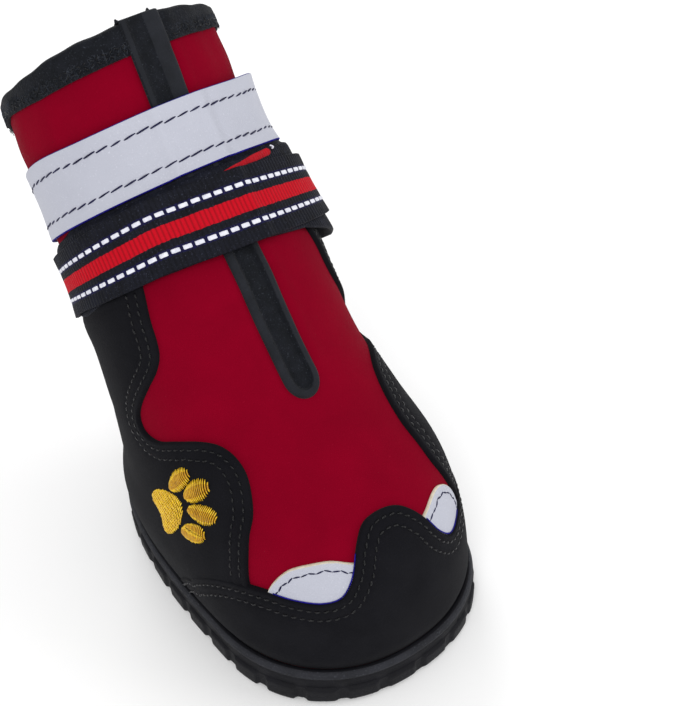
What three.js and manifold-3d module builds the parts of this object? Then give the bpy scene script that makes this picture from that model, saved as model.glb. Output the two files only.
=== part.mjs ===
// Dog bootie: a hollow softshell upper on a rubber cup sole, closed by a reflective band
// and a webbing strap. Millimetres, +Z up, toe towards -Y, wearer's right side towards -X.
// The origin is on the floor, in the middle of the tread bar under the middle of the foot.
import * as THREE from "three";
import { mergeVertices } from "three/addons/utils/BufferGeometryUtils.js";
import Module from "manifold-3d";

const wasm = await Module();
wasm.setup();

// Sizes of the upper, on its outer face.
const FOOT_LENGTH = 104;
const BALL_WIDTH = 71;
const INSTEP_HEIGHT = 66;
const HEEL_HEIGHT = 47;
const COLLAR_FRONT_HEIGHT = 144;
const COLLAR_BACK_HEIGHT = 108.3;
const COLLAR_WIDTH = 55.6;
const SHAFT_LEAN = 36;
const UPPER_WALL = 2.2;

// Clearance between pieces that touch.
const GAP = 0.3;

// Sizes of the sole.
const PLATE_TOP = 4.0;
const TREAD_DEPTH = 2.2;
const LIP_HEIGHT = 10;
const LIP_WALL = 2.0;
const LIP_CROWN = 0.5;
const LIP_BAND = 2.2;
const WALL_BULGE = 0.2;
const SIDE_STEP_HEIGHT = 5.2;
const SIDE_STEP_PROUD = 0.3;
const LUG_PITCH = 10.4;
const LUG_PROUD = 0.9;
const LUG_BAND = 7;
const LUG_CHAMFER = 0.5;
const TOE_SPRING = 1.1;
const TOE_SPRING_START = 0.40;
const TOE_SPRING_RUN = 0.20;
const ARCH_RISE = 0.8;
const ARCH_CENTRE = -0.12;
const ARCH_FLAT = 0.04;
const ARCH_FADE = 0.05;
const BAR_PITCH = 9;
const BAR_WIDTH = 4.4;
const BAR_SWEEP = 3.5;
const BAR_CLEARANCE = 1.6;
const BAR_ROOT = 0.6;
const FRONT_BARS_REACH = 0.40;
const BACK_BARS_REACH = 0.38;
const INSOLE_THICKNESS = 2.0;
const INSOLE_ROUND = 0.4;

// Sizes of the sewn-on pieces.
const PANEL_THICKNESS = 0.9;
const PATCH_THICKNESS = 0.5;
const GUSSET_WIDTH = 8.6;
const GUSSET_THICKNESS = 0.5;
const BINDING_DEPTH = 7.5;
const BINDING_THICKNESS = 0.7;
const BINDING_ROUND = 0.5;
const BAND_WIDTH = 17.5;
const BAND_THICKNESS = 1.0;
const BAND_SLACK = 3.2;
const STRAP_WIDTH = 18.2;
const STRAP_THICKNESS = 1.2;
const STRAP_BASE_THICKNESS = 0.9;
const STRAP_SLACK = 3.2;
const PAW_LENGTH = 12.8;
const PAW_THICKNESS = 0.7;

// The upper's sections from its lower edge (station 0) to the collar's rim (station 1).
// Reach is a share of FOOT_LENGTH forward of the origin, less lean x SHAFT_LEAN.
// Rise is a share of the height to the instep or heel bend, and past 1 of the height from
// there to the collar. The half width is ball x BALL_WIDTH + collar x COLLAR_WIDTH.
// Widest is the share of the section's length from its front to its widest place, and the
// rounds are the exponents of the superellipse before and behind it.
const SECTION_COLUMNS = [
  "station", "frontReach", "frontRise", "backReach", "backRise", "lean",
  "ball", "collar", "widest", "frontRound", "backRound",
];
const SECTIONS = [
  [0.00, 0.546, 0.000, -0.453, 0.000, 0.00, 0.455, 0.00, 0.28, 2.2, 2.7],
  [0.06, 0.561, 0.113, -0.467, 0.140, 0.00, 0.476, 0.00, 0.33, 2.2, 2.7],
  [0.13, 0.552, 0.395, -0.464, 0.326, 0.00, 0.500, 0.00, 0.43, 2.2, 2.4],
  [0.22, 0.495, 0.661, -0.451, 0.535, 0.00, 0.486, 0.00, 0.48, 2.2, 2.2],
  [0.32, 0.364, 0.826, -0.438, 0.744, 0.00, 0.468, 0.00, 0.50, 2.1, 2.1],
  [0.44, 0.201, 1.000, -0.432, 1.000, 0.00, 0.452, 0.00, 0.50, 2.1, 2.1],
  [0.58, 0.044, 1.253, -0.456, 1.207, 0.00, 0.437, 0.00, 0.50, 2.1, 2.1],
  [0.70, 0.028, 1.465, -0.420, 1.378, 0.30, 0.200, 0.284, 0.50, 2.1, 2.1],
  [0.82, 0.020, 1.658, -0.406, 1.597, 0.62, 0.070, 0.430, 0.50, 2.1, 2.1],
  [1.00, 0.003, 2.000, -0.420, 2.000, 1.00, 0.000, 0.500, 0.50, 2.1, 2.1],
];

// Edges of the sewn-on pieces on the upper: stations, and angles in degrees from the
// front line, negative towards the paw side.
const TOE_CAP_EDGE = [
  { angle: -100, station: 0.060 },
  { angle: -91, station: 0.108 },
  { angle: -79, station: 0.141 },
  { angle: -68, station: 0.158 },
  { angle: -55, station: 0.162 },
  { angle: -43, station: 0.154 },
  { angle: -33, station: 0.150 },
  { angle: -26, station: 0.156 },
  { angle: -21, station: 0.178 },
  { angle: -16, station: 0.218 },
  { angle: -10, station: 0.249 },
  { angle: -2, station: 0.258 },
  { angle: 4, station: 0.243 },
  { angle: 10, station: 0.204 },
  { angle: 16, station: 0.168 },
  { angle: 23, station: 0.153 },
  { angle: 31, station: 0.156 },
  { angle: 42, station: 0.162 },
  { angle: 56, station: 0.162 },
  { angle: 69, station: 0.157 },
  { angle: 80, station: 0.140 },
  { angle: 90, station: 0.108 },
  { angle: 99, station: 0.060 },
];
const SIDE_PANEL_EDGE = [
  { leftStation: 0.055, leftAngle: -60, rightStation: 0.055, rightAngle: 44 },
  { leftStation: 0.165, leftAngle: -59, rightStation: 0.165, rightAngle: 41 },
  { leftStation: 0.200, leftAngle: -57, rightStation: 0.200, rightAngle: 37 },
  { leftStation: 0.240, leftAngle: -53, rightStation: 0.240, rightAngle: 33 },
  { leftStation: 0.280, leftAngle: -47, rightStation: 0.280, rightAngle: 33 },
  { leftStation: 0.320, leftAngle: -43, rightStation: 0.320, rightAngle: 33 },
  { leftStation: 0.355, leftAngle: -41, rightStation: 0.355, rightAngle: 35 },
  { leftStation: 0.385, leftAngle: -42, rightStation: 0.385, rightAngle: 39 },
  { leftStation: 0.404, leftAngle: -46, rightStation: 0.404, rightAngle: 44 },
  { leftStation: 0.411, leftAngle: -54, rightStation: 0.413, rightAngle: 53 },
  { leftStation: 0.407, leftAngle: -66, rightStation: 0.409, rightAngle: 64 },
  { leftStation: 0.400, leftAngle: -76, rightStation: 0.402, rightAngle: 74 },
  { leftStation: 0.412, leftAngle: -82, rightStation: 0.414, rightAngle: 80 },
  { leftStation: 0.440, leftAngle: -82, rightStation: 0.440, rightAngle: 80 },
  { leftStation: 0.470, leftAngle: -77, rightStation: 0.470, rightAngle: 75 },
  { leftStation: 0.502, leftAngle: -68, rightStation: 0.502, rightAngle: 66 },
  { leftStation: 0.530, leftAngle: -59, rightStation: 0.530, rightAngle: 57 },
  { leftStation: 0.556, leftAngle: -54, rightStation: 0.556, rightAngle: 52 },
  { leftStation: 0.610, leftAngle: -51, rightStation: 0.610, rightAngle: 48 },
  { leftStation: 0.680, leftAngle: -47, rightStation: 0.680, rightAngle: 45 },
];
const LEFT_PATCH_EDGE = [
  { angle: -53, station: 0.160 },
  { angle: -48, station: 0.182 },
  { angle: -42, station: 0.197 },
  { angle: -35, station: 0.204 },
  { angle: -27, station: 0.206 },
  { angle: -14, station: 0.197 },
];
const RIGHT_PATCH_EDGE = [
  { angle: 7, station: 0.204 },
  { angle: 14, station: 0.211 },
  { angle: 21, station: 0.219 },
  { angle: 27, station: 0.217 },
  { angle: 33, station: 0.203 },
  { angle: 38, station: 0.178 },
  { angle: 39, station: 0.160 },
];
const STRAP_CENTRE = [
  { angle: -180, station: 0.688 },
  { angle: -150, station: 0.691 },
  { angle: -108, station: 0.696 },
  { angle: -65, station: 0.705 },
  { angle: -32, station: 0.708 },
  { angle: -7, station: 0.700 },
  { angle: 7, station: 0.697 },
  { angle: 38, station: 0.688 },
  { angle: 61, station: 0.681 },
  { angle: 95, station: 0.674 },
  { angle: 150, station: 0.680 },
  { angle: 180, station: 0.688 },
];
const STRAP_BASE_EDGE = [
  { angle: -112, low: 0.648, high: 0.752 },
  { angle: -60, low: 0.660, high: 0.766 },
  { angle: 0, low: 0.655, high: 0.770 },
  { angle: 40, low: 0.636, high: 0.770 },
  { angle: 61, low: 0.614, high: 0.770 },
  { angle: 90, low: 0.594, high: 0.766 },
  { angle: 108, low: 0.590, high: 0.762 },
];
const STRAP_FREE_END = -106;
const STRAP_SEWN_END = 246.5;
const BAND_STATION = 0.83;
const SLACK_ANGLE = 95;
const SLACK_SPREAD = 48;
const GUSSET_TIP = 0.434;
const GUSSET_TIP_LENGTH = 0.035;
const OVERLAY_TOP = 0.70;

// Angles in degrees over which the straps rise over the gusset, and past the end of the
// strap's base over which the webbing comes down to the shaft.
const OVER_GUSSET = 10;
const OVER_GUSSET_FADE = 8;
const BASE_DROP_START = 5;
const BASE_DROP_FADE = 25;

// The paw print's pads on the outer side, in shares of the big pad's length: forward and
// up from the big pad's middle, half sizes, and the turn from forward towards up in degrees.
const PAW_CENTRE = { station: 0.229, angle: -87 };
const PAW_PADS = [
  { name: "paw_pad", ahead: 0.00, up: 0.00, length: 0.50, width: 0.36, turn: -33 },
  { name: "paw_toe_1", ahead: 0.23, up: 0.91, length: 0.31, width: 0.17, turn: 60 },
  { name: "paw_toe_2", ahead: 0.69, up: 0.89, length: 0.31, width: 0.17, turn: 53 },
  { name: "paw_toe_3", ahead: 0.95, up: 0.56, length: 0.31, width: 0.20, turn: 11 },
  { name: "paw_toe_4", ahead: 0.81, up: 0.05, length: 0.31, width: 0.21, turn: 2 },
];

// Steps of the meshes.
const UPPER_COLUMNS = 40;
const UPPER_STATIONS = [
  0, 0.055, 0.095, 0.135, 0.175, 0.215, 0.26, 0.31, 0.37, 0.44, 0.51, 0.58, 0.66, 0.74, 0.82,
  0.91, 1,
];
const SOLE_STATION = 0.03;
const RADIANS = Math.PI / 180;

function mix(low, high, share) {
  return low + (high - low) * share;
}

function smooth(value) {
  const share = Math.min(1, Math.max(0, value));
  return share * share * (3 - 2 * share);
}

// Cubic curve through a column of values, with slopes taken across the neighbours.
function curveThrough(positions, values, position) {
  const last = positions.length - 1;
  const slope = (index) => {
    const before = Math.max(0, index - 1);
    const after = Math.min(last, index + 1);
    return (values[after] - values[before]) / (positions[after] - positions[before]);
  };
  let index = 0;
  while (index < last - 1 && position >= positions[index + 1]) index += 1;
  const span = positions[index + 1] - positions[index];
  const t = (position - positions[index]) / span;
  const start = (2 * t ** 3 - 3 * t ** 2 + 1) * values[index];
  const leave = (t ** 3 - 2 * t ** 2 + t) * span * slope(index);
  const end = (3 * t ** 2 - 2 * t ** 3) * values[index + 1];
  const arrive = (t ** 3 - t ** 2) * span * slope(index + 1);
  return start + leave + end + arrive;
}

// Straight steps through the rows of an edge table.
function edgeValue(table, key, angle) {
  let index = 0;
  while (index < table.length - 2 && angle >= table[index + 1].angle) index += 1;
  const before = table[index];
  const after = table[index + 1];
  const share = (angle - before.angle) / (after.angle - before.angle);
  return mix(before[key], after[key], Math.min(1, Math.max(0, share)));
}

const UPPER_BOTTOM = PLATE_TOP + GAP;

function rise(share, bendHeight, collarHeight) {
  const toBend = Math.min(share, 1) * (bendHeight - UPPER_BOTTOM);
  return UPPER_BOTTOM + toBend + Math.max(share - 1, 0) * (collarHeight - bendHeight);
}

const sectionRows = SECTIONS.map((row) => {
  const cell = Object.fromEntries(SECTION_COLUMNS.map((name, index) => [name, row[index]]));
  const lean = cell.lean * SHAFT_LEAN;
  return {
    station: cell.station,
    frontForward: cell.frontReach * FOOT_LENGTH - lean,
    frontHeight: rise(cell.frontRise, INSTEP_HEIGHT, COLLAR_FRONT_HEIGHT),
    backForward: cell.backReach * FOOT_LENGTH - lean,
    backHeight: rise(cell.backRise, HEEL_HEIGHT, COLLAR_BACK_HEIGHT),
    halfWidth: cell.ball * BALL_WIDTH + cell.collar * COLLAR_WIDTH,
    widest: cell.widest,
    frontRound: cell.frontRound,
    backRound: cell.backRound,
  };
});
const sectionStations = sectionRows.map((row) => row.station);

function sectionAt(station) {
  const value = (key) => curveThrough(sectionStations, sectionRows.map((row) => row[key]), station);
  const section = {};
  for (const key of Object.keys(sectionRows[0])) section[key] = value(key);
  return section;
}

// A point of a section, grown in its own plane. Angle 0 is the front.
function sectionPoint(section, angle, growth) {
  const run = section.frontForward - section.backForward;
  const climb = section.frontHeight - section.backHeight;
  const length = Math.hypot(run, climb);
  const frontLength = length * section.widest;
  const cosine = Math.cos(angle * RADIANS);
  const sine = Math.sin(angle * RADIANS);
  const round = cosine >= 0 ? section.frontRound : section.backRound;
  const reach = (cosine >= 0 ? frontLength : length - frontLength) + growth;
  const along = Math.sign(cosine) * Math.abs(cosine) ** (2 / round) * reach - frontLength;
  const side = Math.sign(sine) * Math.abs(sine) ** (2 / round) * (section.halfWidth + growth);
  const forward = section.frontForward + (run / length) * along;
  const height = section.frontHeight + (climb / length) * along;
  return new THREE.Vector3(side, -forward, height);
}

function upperFace(station, angle) {
  return sectionPoint(sectionAt(station), angle, 0);
}

// Travel over the upper's face for a full station, and for a degree.
function travelAlong(station, angle) {
  const step = 0.004;
  const above = upperFace(station + step, angle);
  return above.sub(upperFace(station - step, angle)).divideScalar(2 * step);
}

function travelAround(station, angle) {
  const step = 1.5;
  const after = upperFace(station, angle + step);
  return after.sub(upperFace(station, angle - step)).divideScalar(2 * step);
}

// A point off the upper's outer face, along its normal.
function upperPoint(station, angle, offset) {
  const normal = travelAround(station, angle).cross(travelAlong(station, angle)).normalize();
  return upperFace(station, angle).addScaledVector(normal, offset);
}

// Length of the upper's face for a full station, near a given station and angle.
function stationLength(station, angle = 0) {
  const step = 0.01;
  const above = upperFace(station + step, angle);
  return above.distanceTo(upperFace(station - step, angle)) / (2 * step);
}

function stationAtHeight(height) {
  let low = 0;
  let high = 0.3;
  for (let turn = 0; turn < 30; turn += 1) {
    const middle = (low + high) / 2;
    if (upperFace(middle, 0).z < height) low = middle;
    else high = middle;
  }
  return (low + high) / 2;
}

const LIP_STATION = stationAtHeight(LIP_HEIGHT);
const COLLAR_STATION_LENGTH = stationLength(0.99);
const RIM_STATION = 1 - (GAP + BINDING_THICKNESS) / COLLAR_STATION_LENGTH;
const BINDING_STATION = 1 - BINDING_DEPTH / COLLAR_STATION_LENGTH;

// Closed meshes from rows of points.
function solidFromTriangles(points, triangles) {
  const geometry = new THREE.BufferGeometry();
  const positions = points.flatMap((point) => [point.x, point.y, point.z]);
  geometry.setAttribute("position", new THREE.Float32BufferAttribute(positions, 3));
  geometry.setIndex(triangles);
  return solidFromGeometry(geometry);
}

function signedVolume(vertices, triangles) {
  const corner = (index) => new THREE.Vector3(...vertices.slice(3 * index, 3 * index + 3));
  let volume = 0;
  for (let start = 0; start < triangles.length; start += 3) {
    const first = corner(triangles[start]);
    const second = corner(triangles[start + 1]);
    volume += first.dot(second.cross(corner(triangles[start + 2]))) / 6;
  }
  return volume;
}

function solidFromGeometry(geometry) {
  const bare = new THREE.BufferGeometry();
  bare.setAttribute("position", geometry.getAttribute("position").clone());
  bare.setIndex(geometry.getIndex());
  const merged = mergeVertices(bare, 1e-4);
  const vertProperties = Float32Array.from(merged.getAttribute("position").array);
  const triVerts = Uint32Array.from(merged.getIndex().array);
  if (signedVolume(vertProperties, triVerts) < 0) {
    for (let start = 0; start < triVerts.length; start += 3) {
      [triVerts[start], triVerts[start + 1]] = [triVerts[start + 1], triVerts[start]];
    }
  }
  return new wasm.Manifold(new wasm.Mesh({ numProp: 3, vertProperties, triVerts }));
}

function quad(triangles, a, b, c, d) {
  triangles.push(a, b, c, a, c, d);
}

// Rings of equal count joined in order: the last meets the first, or both ends are capped.
function ringSolid(rings, closed) {
  const count = rings[0].length;
  const points = rings.flat();
  const triangles = [];
  const joins = closed ? rings.length : rings.length - 1;
  for (let ring = 0; ring < joins; ring += 1) {
    const next = (ring + 1) % rings.length;
    for (let column = 0; column < count; column += 1) {
      const after = (column + 1) % count;
      quad(triangles, ring * count + column, ring * count + after,
        next * count + after, next * count + column);
    }
  }
  if (!closed) {
    for (const [ring, flip] of [[0, true], [rings.length - 1, false]]) {
      const centre = new THREE.Vector3();
      for (const point of rings[ring]) centre.addScaledVector(point, 1 / count);
      points.push(centre);
      for (let column = 0; column < count; column += 1) {
        const here = ring * count + column;
        const after = ring * count + ((column + 1) % count);
        if (flip) triangles.push(points.length - 1, after, here);
        else triangles.push(points.length - 1, here, after);
      }
    }
  }
  return solidFromTriangles(points, triangles);
}

// A slab between a low and a high sheet of points, rows by columns.
function slabSolid(low, high) {
  const rows = low.length;
  const columns = low[0].length;
  const points = [...low.flat(), ...high.flat()];
  const at = (sheet, row, column) => sheet * rows * columns + row * columns + column;
  const triangles = [];
  for (let row = 0; row < rows - 1; row += 1) {
    for (let column = 0; column < columns - 1; column += 1) {
      quad(triangles, at(0, row, column), at(0, row + 1, column),
        at(0, row + 1, column + 1), at(0, row, column + 1));
      quad(triangles, at(1, row, column), at(1, row, column + 1),
        at(1, row + 1, column + 1), at(1, row + 1, column));
    }
  }
  for (let row = 0; row < rows - 1; row += 1) {
    for (const [column, flip] of [[0, false], [columns - 1, true]]) {
      const corners = [at(0, row, column), at(1, row, column),
        at(1, row + 1, column), at(0, row + 1, column)];
      if (flip) corners.reverse();
      quad(triangles, ...corners);
    }
  }
  for (let column = 0; column < columns - 1; column += 1) {
    for (const [row, flip] of [[0, true], [rows - 1, false]]) {
      const corners = [at(0, row, column), at(1, row, column),
        at(1, row, column + 1), at(0, row, column + 1)];
      if (flip) corners.reverse();
      quad(triangles, ...corners);
    }
  }
  return solidFromTriangles(points, triangles);
}

// A slab on the upper from a sheet of places, with an offset for each of its two faces.
function upperSlab(places, lowOffset, highOffset) {
  const sheet = (offset) => places.map((row) => row.map(
    ({ station, angle }) => upperPoint(station, angle, offset(angle)),
  ));
  return slabSolid(sheet(lowOffset), sheet(highOffset));
}

const columnAngles = Array.from(
  { length: UPPER_COLUMNS },
  (_, column) => column * 360 / UPPER_COLUMNS - 180,
);

const steady = (value) => () => value;

function upperRing(station, offset) {
  return columnAngles.map((angle) => upperPoint(station(angle), angle, offset(angle)));
}

// A shell around the upper through a list of station functions, between two offsets.
function upperShell(stations, lowOffset, highOffset) {
  const outside = stations.map((station) => upperRing(station, highOffset));
  const inside = [...stations].reverse().map((station) => upperRing(station, lowOffset));
  return ringSolid([...outside, ...inside], true);
}

function stationsBetween(low, high) {
  const margin = 0.012;
  const inner = UPPER_STATIONS.filter((station) => station > low + margin && station < high - margin);
  return [low, ...inner, high];
}

function makeUpper() {
  const stations = stationsBetween(0, RIM_STATION).map(steady);
  return upperShell(stations, steady(-UPPER_WALL), steady(0));
}

// An edge moved sideways by a distance in millimetres, to leave room for a neighbour:
// towards higher stations where the edge runs towards higher angles, and the other way round.
function grownEdge(edge, distance) {
  const alongScale = stationLength(0.2);
  const aroundScale = (BALL_WIDTH / 2) * RADIANS;
  return edge.map((place, index) => {
    const before = edge[Math.max(0, index - 1)];
    const after = edge[Math.min(edge.length - 1, index + 1)];
    const around = (after.angle - before.angle) * aroundScale;
    const along = (after.station - before.station) * alongScale;
    const length = Math.hypot(around, along);
    return {
      angle: place.angle - (along / length) * distance / aroundScale,
      station: place.station + (around / length) * distance / alongScale,
    };
  });
}

// Cutting forms reach from inside the upper's wall to well outside the overlays.
const CUT_LOW = steady(-1);
const CUT_HIGH = steady(4);
const CUT_START = LIP_STATION - 0.02;

function regionUnder(edge, lowStation, steps) {
  const places = edge.map(({ station, angle }) => Array.from(
    { length: steps + 1 },
    (_, step) => ({ angle, station: mix(lowStation, station, step / steps) }),
  ));
  return upperSlab(places, CUT_LOW, CUT_HIGH);
}

// The overlays start just above the lip of the sole.
function overlayLowEdge(angle) {
  return LIP_STATION + (LIP_CROWN + GAP) / stationLength(LIP_STATION, angle);
}

function toeCapRegion(growth) {
  return regionUnder(grownEdge(TOE_CAP_EDGE, growth), CUT_START, 5);
}

function sidePanelRegion(growth) {
  const left = grownEdge(
    SIDE_PANEL_EDGE.map((row) => ({ angle: row.leftAngle, station: row.leftStation })),
    -growth,
  );
  const right = grownEdge(
    SIDE_PANEL_EDGE.map((row) => ({ angle: row.rightAngle, station: row.rightStation })),
    growth,
  );
  const steps = 20;
  const places = left.map((place, index) => Array.from({ length: steps + 1 }, (_, step) => ({
    station: mix(place.station, right[index].station, step / steps),
    angle: mix(place.angle, right[index].angle - 360, step / steps),
  })));
  return upperSlab(places, CUT_LOW, CUT_HIGH);
}

// The straps lie over the front gusset and stand off on one side, where they have slack.
function strapLift(angle, slack) {
  const wrapped = ((angle + 180) % 360 + 360) % 360 - 180;
  const overGusset = 1 - smooth((Math.abs(wrapped) - OVER_GUSSET) / OVER_GUSSET_FADE);
  const away = Math.abs(wrapped - SLACK_ANGLE) / SLACK_SPREAD;
  return (GUSSET_THICKNESS + GAP) * overGusset + slack * (1 - smooth(away));
}

function strapEdge(angle, side) {
  const wrapped = ((angle + 180) % 360 + 360) % 360 - 180;
  const centre = edgeValue(STRAP_CENTRE, "station", wrapped);
  return centre + side * STRAP_WIDTH / 2 / stationLength(0.7);
}

function anglesBetween(low, high) {
  const step = 360 / UPPER_COLUMNS;
  const margin = step / 4;
  const angles = [low];
  for (let angle = Math.ceil((low + margin) / step) * step; angle < high - margin; angle += step) {
    angles.push(angle);
  }
  return [...angles, high];
}

function stripPlaces(angles, lowEdge, highEdge, steps) {
  return angles.map((angle) => Array.from({ length: steps + 1 }, (_, step) => ({
    angle,
    station: mix(lowEdge(angle), highEdge(angle), step / steps),
  })));
}

function makeStrapBase() {
  const first = STRAP_BASE_EDGE[0].angle;
  const last = STRAP_BASE_EDGE[STRAP_BASE_EDGE.length - 1].angle;
  const places = stripPlaces(
    anglesBetween(first, last),
    (angle) => edgeValue(STRAP_BASE_EDGE, "low", angle),
    (angle) => edgeValue(STRAP_BASE_EDGE, "high", angle),
    3,
  );
  const low = (angle) => GAP + strapLift(angle, STRAP_SLACK);
  return upperSlab(places, low, (angle) => low(angle) + STRAP_BASE_THICKNESS);
}

// The webbing lies on its base from the free end to the slack, then on the shaft.
function makeWebbingStrap() {
  const baseEnd = STRAP_BASE_EDGE[STRAP_BASE_EDGE.length - 1].angle;
  const places = stripPlaces(
    anglesBetween(STRAP_FREE_END, STRAP_SEWN_END),
    (angle) => strapEdge(angle, -1),
    (angle) => strapEdge(angle, 1),
    3,
  );
  const low = (angle) => {
    const onBase = 1 - smooth((angle - baseEnd - BASE_DROP_START) / BASE_DROP_FADE);
    return GAP + strapLift(angle, STRAP_SLACK) + onBase * (STRAP_BASE_THICKNESS + GAP);
  };
  return upperSlab(places, low, (angle) => low(angle) + STRAP_THICKNESS);
}

function makeReflectiveBand() {
  const half = BAND_WIDTH / 2 / stationLength(BAND_STATION);
  const low = (angle) => GAP + strapLift(angle, BAND_SLACK);
  return upperShell(
    [BAND_STATION - half, BAND_STATION, BAND_STATION + half].map(steady),
    low,
    (angle) => low(angle) + BAND_THICKNESS,
  );
}

// Room that the overlays leave below the straps.
function strapSpace() {
  const clearance = GAP / stationLength(0.6);
  const lowEdge = (angle) => {
    const wrapped = ((angle + 180) % 360 + 360) % 360 - 180;
    const inBase = wrapped > STRAP_BASE_EDGE[0].angle
      && wrapped < STRAP_BASE_EDGE[STRAP_BASE_EDGE.length - 1].angle + 2;
    const base = inBase ? edgeValue(STRAP_BASE_EDGE, "low", wrapped) : 1;
    return Math.min(strapEdge(wrapped, -1), base) - clearance;
  };
  return upperShell([lowEdge, steady(BAND_STATION)], CUT_LOW, CUT_HIGH);
}

function overlaySkin(thickness) {
  const stations = stationsBetween(LIP_STATION + 0.01, OVERLAY_TOP).slice(1).map(steady);
  return upperShell([overlayLowEdge, ...stations], steady(GAP), steady(GAP + thickness));
}

function makeToeCap() {
  return overlaySkin(PANEL_THICKNESS).intersect(toeCapRegion(0));
}

function makeSidePanel() {
  const panel = overlaySkin(PANEL_THICKNESS).intersect(sidePanelRegion(0));
  return panel.subtract(toeCapRegion(GAP)).subtract(strapSpace());
}

function makePatch(edge) {
  const patch = overlaySkin(PATCH_THICKNESS).intersect(regionUnder(edge, CUT_START, 3));
  return patch.subtract(toeCapRegion(GAP)).subtract(sidePanelRegion(GAP));
}

function makeGusset() {
  const top = BINDING_STATION - GAP / COLLAR_STATION_LENGTH;
  const stations = stationsBetween(GUSSET_TIP + GUSSET_TIP_LENGTH, top);
  const tip = [0.02, 0.35, 0.7].map((share) => ({
    station: GUSSET_TIP + GUSSET_TIP_LENGTH * share,
    share,
  }));
  const rows = [...tip, ...stations.map((station) => ({ station, share: 1 }))];
  const places = rows.map(({ station, share }) => {
    const narrowing = Math.sqrt(1 - (1 - share) ** 2);
    const half = GUSSET_WIDTH / 2 * narrowing / sectionAt(station).halfWidth / RADIANS;
    return [-half, 0, half].map((angle) => ({ station, angle }));
  });
  return upperSlab(places, steady(GAP), steady(GAP + GUSSET_THICKNESS));
}

function makeBinding() {
  const outside = GAP + BINDING_THICKNESS;
  const inside = -UPPER_WALL - GAP - BINDING_THICKNESS;
  const ring = (station, offset) => upperRing(steady(station), steady(offset));
  const rim = RIM_STATION + GAP / COLLAR_STATION_LENGTH;
  return ringSolid([
    ring(BINDING_STATION, GAP),
    ring(BINDING_STATION, outside),
    ring(1 - BINDING_ROUND / COLLAR_STATION_LENGTH, outside),
    ring(1, outside - BINDING_ROUND),
    ring(1, inside + BINDING_ROUND),
    ring(1 - BINDING_ROUND / COLLAR_STATION_LENGTH, inside),
    ring(BINDING_STATION, inside),
    ring(BINDING_STATION, -UPPER_WALL - GAP),
    ring(rim, -UPPER_WALL - GAP),
    ring(rim, GAP),
  ], true);
}

// The sole's outline, a section of the upper grown in the floor plane.
const soleSection = sectionAt(SOLE_STATION);
soleSection.frontHeight = 0;
soleSection.backHeight = 0;

function soleOutline(angle, growth, height) {
  const point = sectionPoint(soleSection, angle, growth);
  point.z = height;
  return point;
}

// Angles at equal steps along the sole's edge, then shared out within each lug.
function lugColumns() {
  const fine = 1440;
  const lengths = [0];
  for (let step = 1; step <= fine; step += 1) {
    const here = soleOutline(step * 360 / fine, LIP_WALL, 0);
    const before = soleOutline((step - 1) * 360 / fine, LIP_WALL, 0);
    lengths.push(lengths[step - 1] + here.distanceTo(before));
  }
  const perimeter = lengths[fine];
  const count = Math.round(perimeter / LUG_PITCH);
  const marks = [
    { share: 0.00, lug: false }, { share: 0.10, lug: true },
    { share: 0.72, lug: true }, { share: 0.84, lug: false },
  ];
  const columns = [];
  for (let lug = 0; lug < count; lug += 1) {
    for (const mark of marks) {
      const target = (lug + mark.share) * perimeter / count;
      let step = 1;
      while (step < fine && lengths[step] < target) step += 1;
      const share = (target - lengths[step - 1]) / (lengths[step] - lengths[step - 1]);
      columns.push({ angle: (step - 1 + share) * 360 / fine, lug: mark.lug });
    }
  }
  return columns;
}

// Height of the sole's underside: on the floor, but for the toe spring and the arch.
function underside(forward) {
  const share = forward / FOOT_LENGTH;
  const toe = smooth((share - TOE_SPRING_START) / TOE_SPRING_RUN);
  const arch = 1 - smooth((Math.abs(share - ARCH_CENTRE) - ARCH_FLAT) / ARCH_FADE);
  return TOE_SPRING * toe + ARCH_RISE * arch;
}

function makeOutsole() {
  const columns = lugColumns();
  const outline = (growth, height) => columns.map(
    ({ angle }) => soleOutline(angle, growth, height),
  );
  const onUpper = (station, offset) => columns.map(
    ({ angle }) => upperPoint(station, angle, offset),
  );
  const lugRing = (growth, groove, heightAt) => columns.map(({ angle, lug }) => {
    const point = soleOutline(angle, lug ? growth : groove, 0);
    point.z = heightAt(underside(-point.y), lug);
    return point;
  });
  const inner = columns.map(({ angle }) => {
    const point = upperPoint(0, angle, GAP);
    point.z = PLATE_TOP;
    return point;
  });
  const crown = onUpper(LIP_STATION, GAP + LIP_WALL / 2);
  for (const point of crown) point.z += LIP_CROWN;
  const wall = LIP_WALL + GAP;
  const lugWall = wall + LUG_PROUD;
  const lugFoot = (spring, lug) => (lug ? spring : TREAD_DEPTH);
  const solid = ringSolid([
    inner,
    onUpper(LIP_STATION, GAP),
    crown,
    onUpper(LIP_STATION, wall),
    outline(wall + WALL_BULGE, LIP_HEIGHT - LIP_BAND),
    outline(wall + WALL_BULGE, SIDE_STEP_HEIGHT + SIDE_STEP_PROUD),
    lugRing(lugWall, wall + SIDE_STEP_PROUD, () => SIDE_STEP_HEIGHT),
    lugRing(lugWall - LUG_CHAMFER, wall - LUG_CHAMFER, lugFoot),
    lugRing(-LUG_BAND, -LUG_BAND, lugFoot),
    lugRing(-LUG_BAND - LUG_CHAMFER, -LUG_BAND - LUG_CHAMFER, () => TREAD_DEPTH),
  ], false);
  return makeTreadBars().reduce((sole, bar) => sole.add(bar), solid);
}

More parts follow.
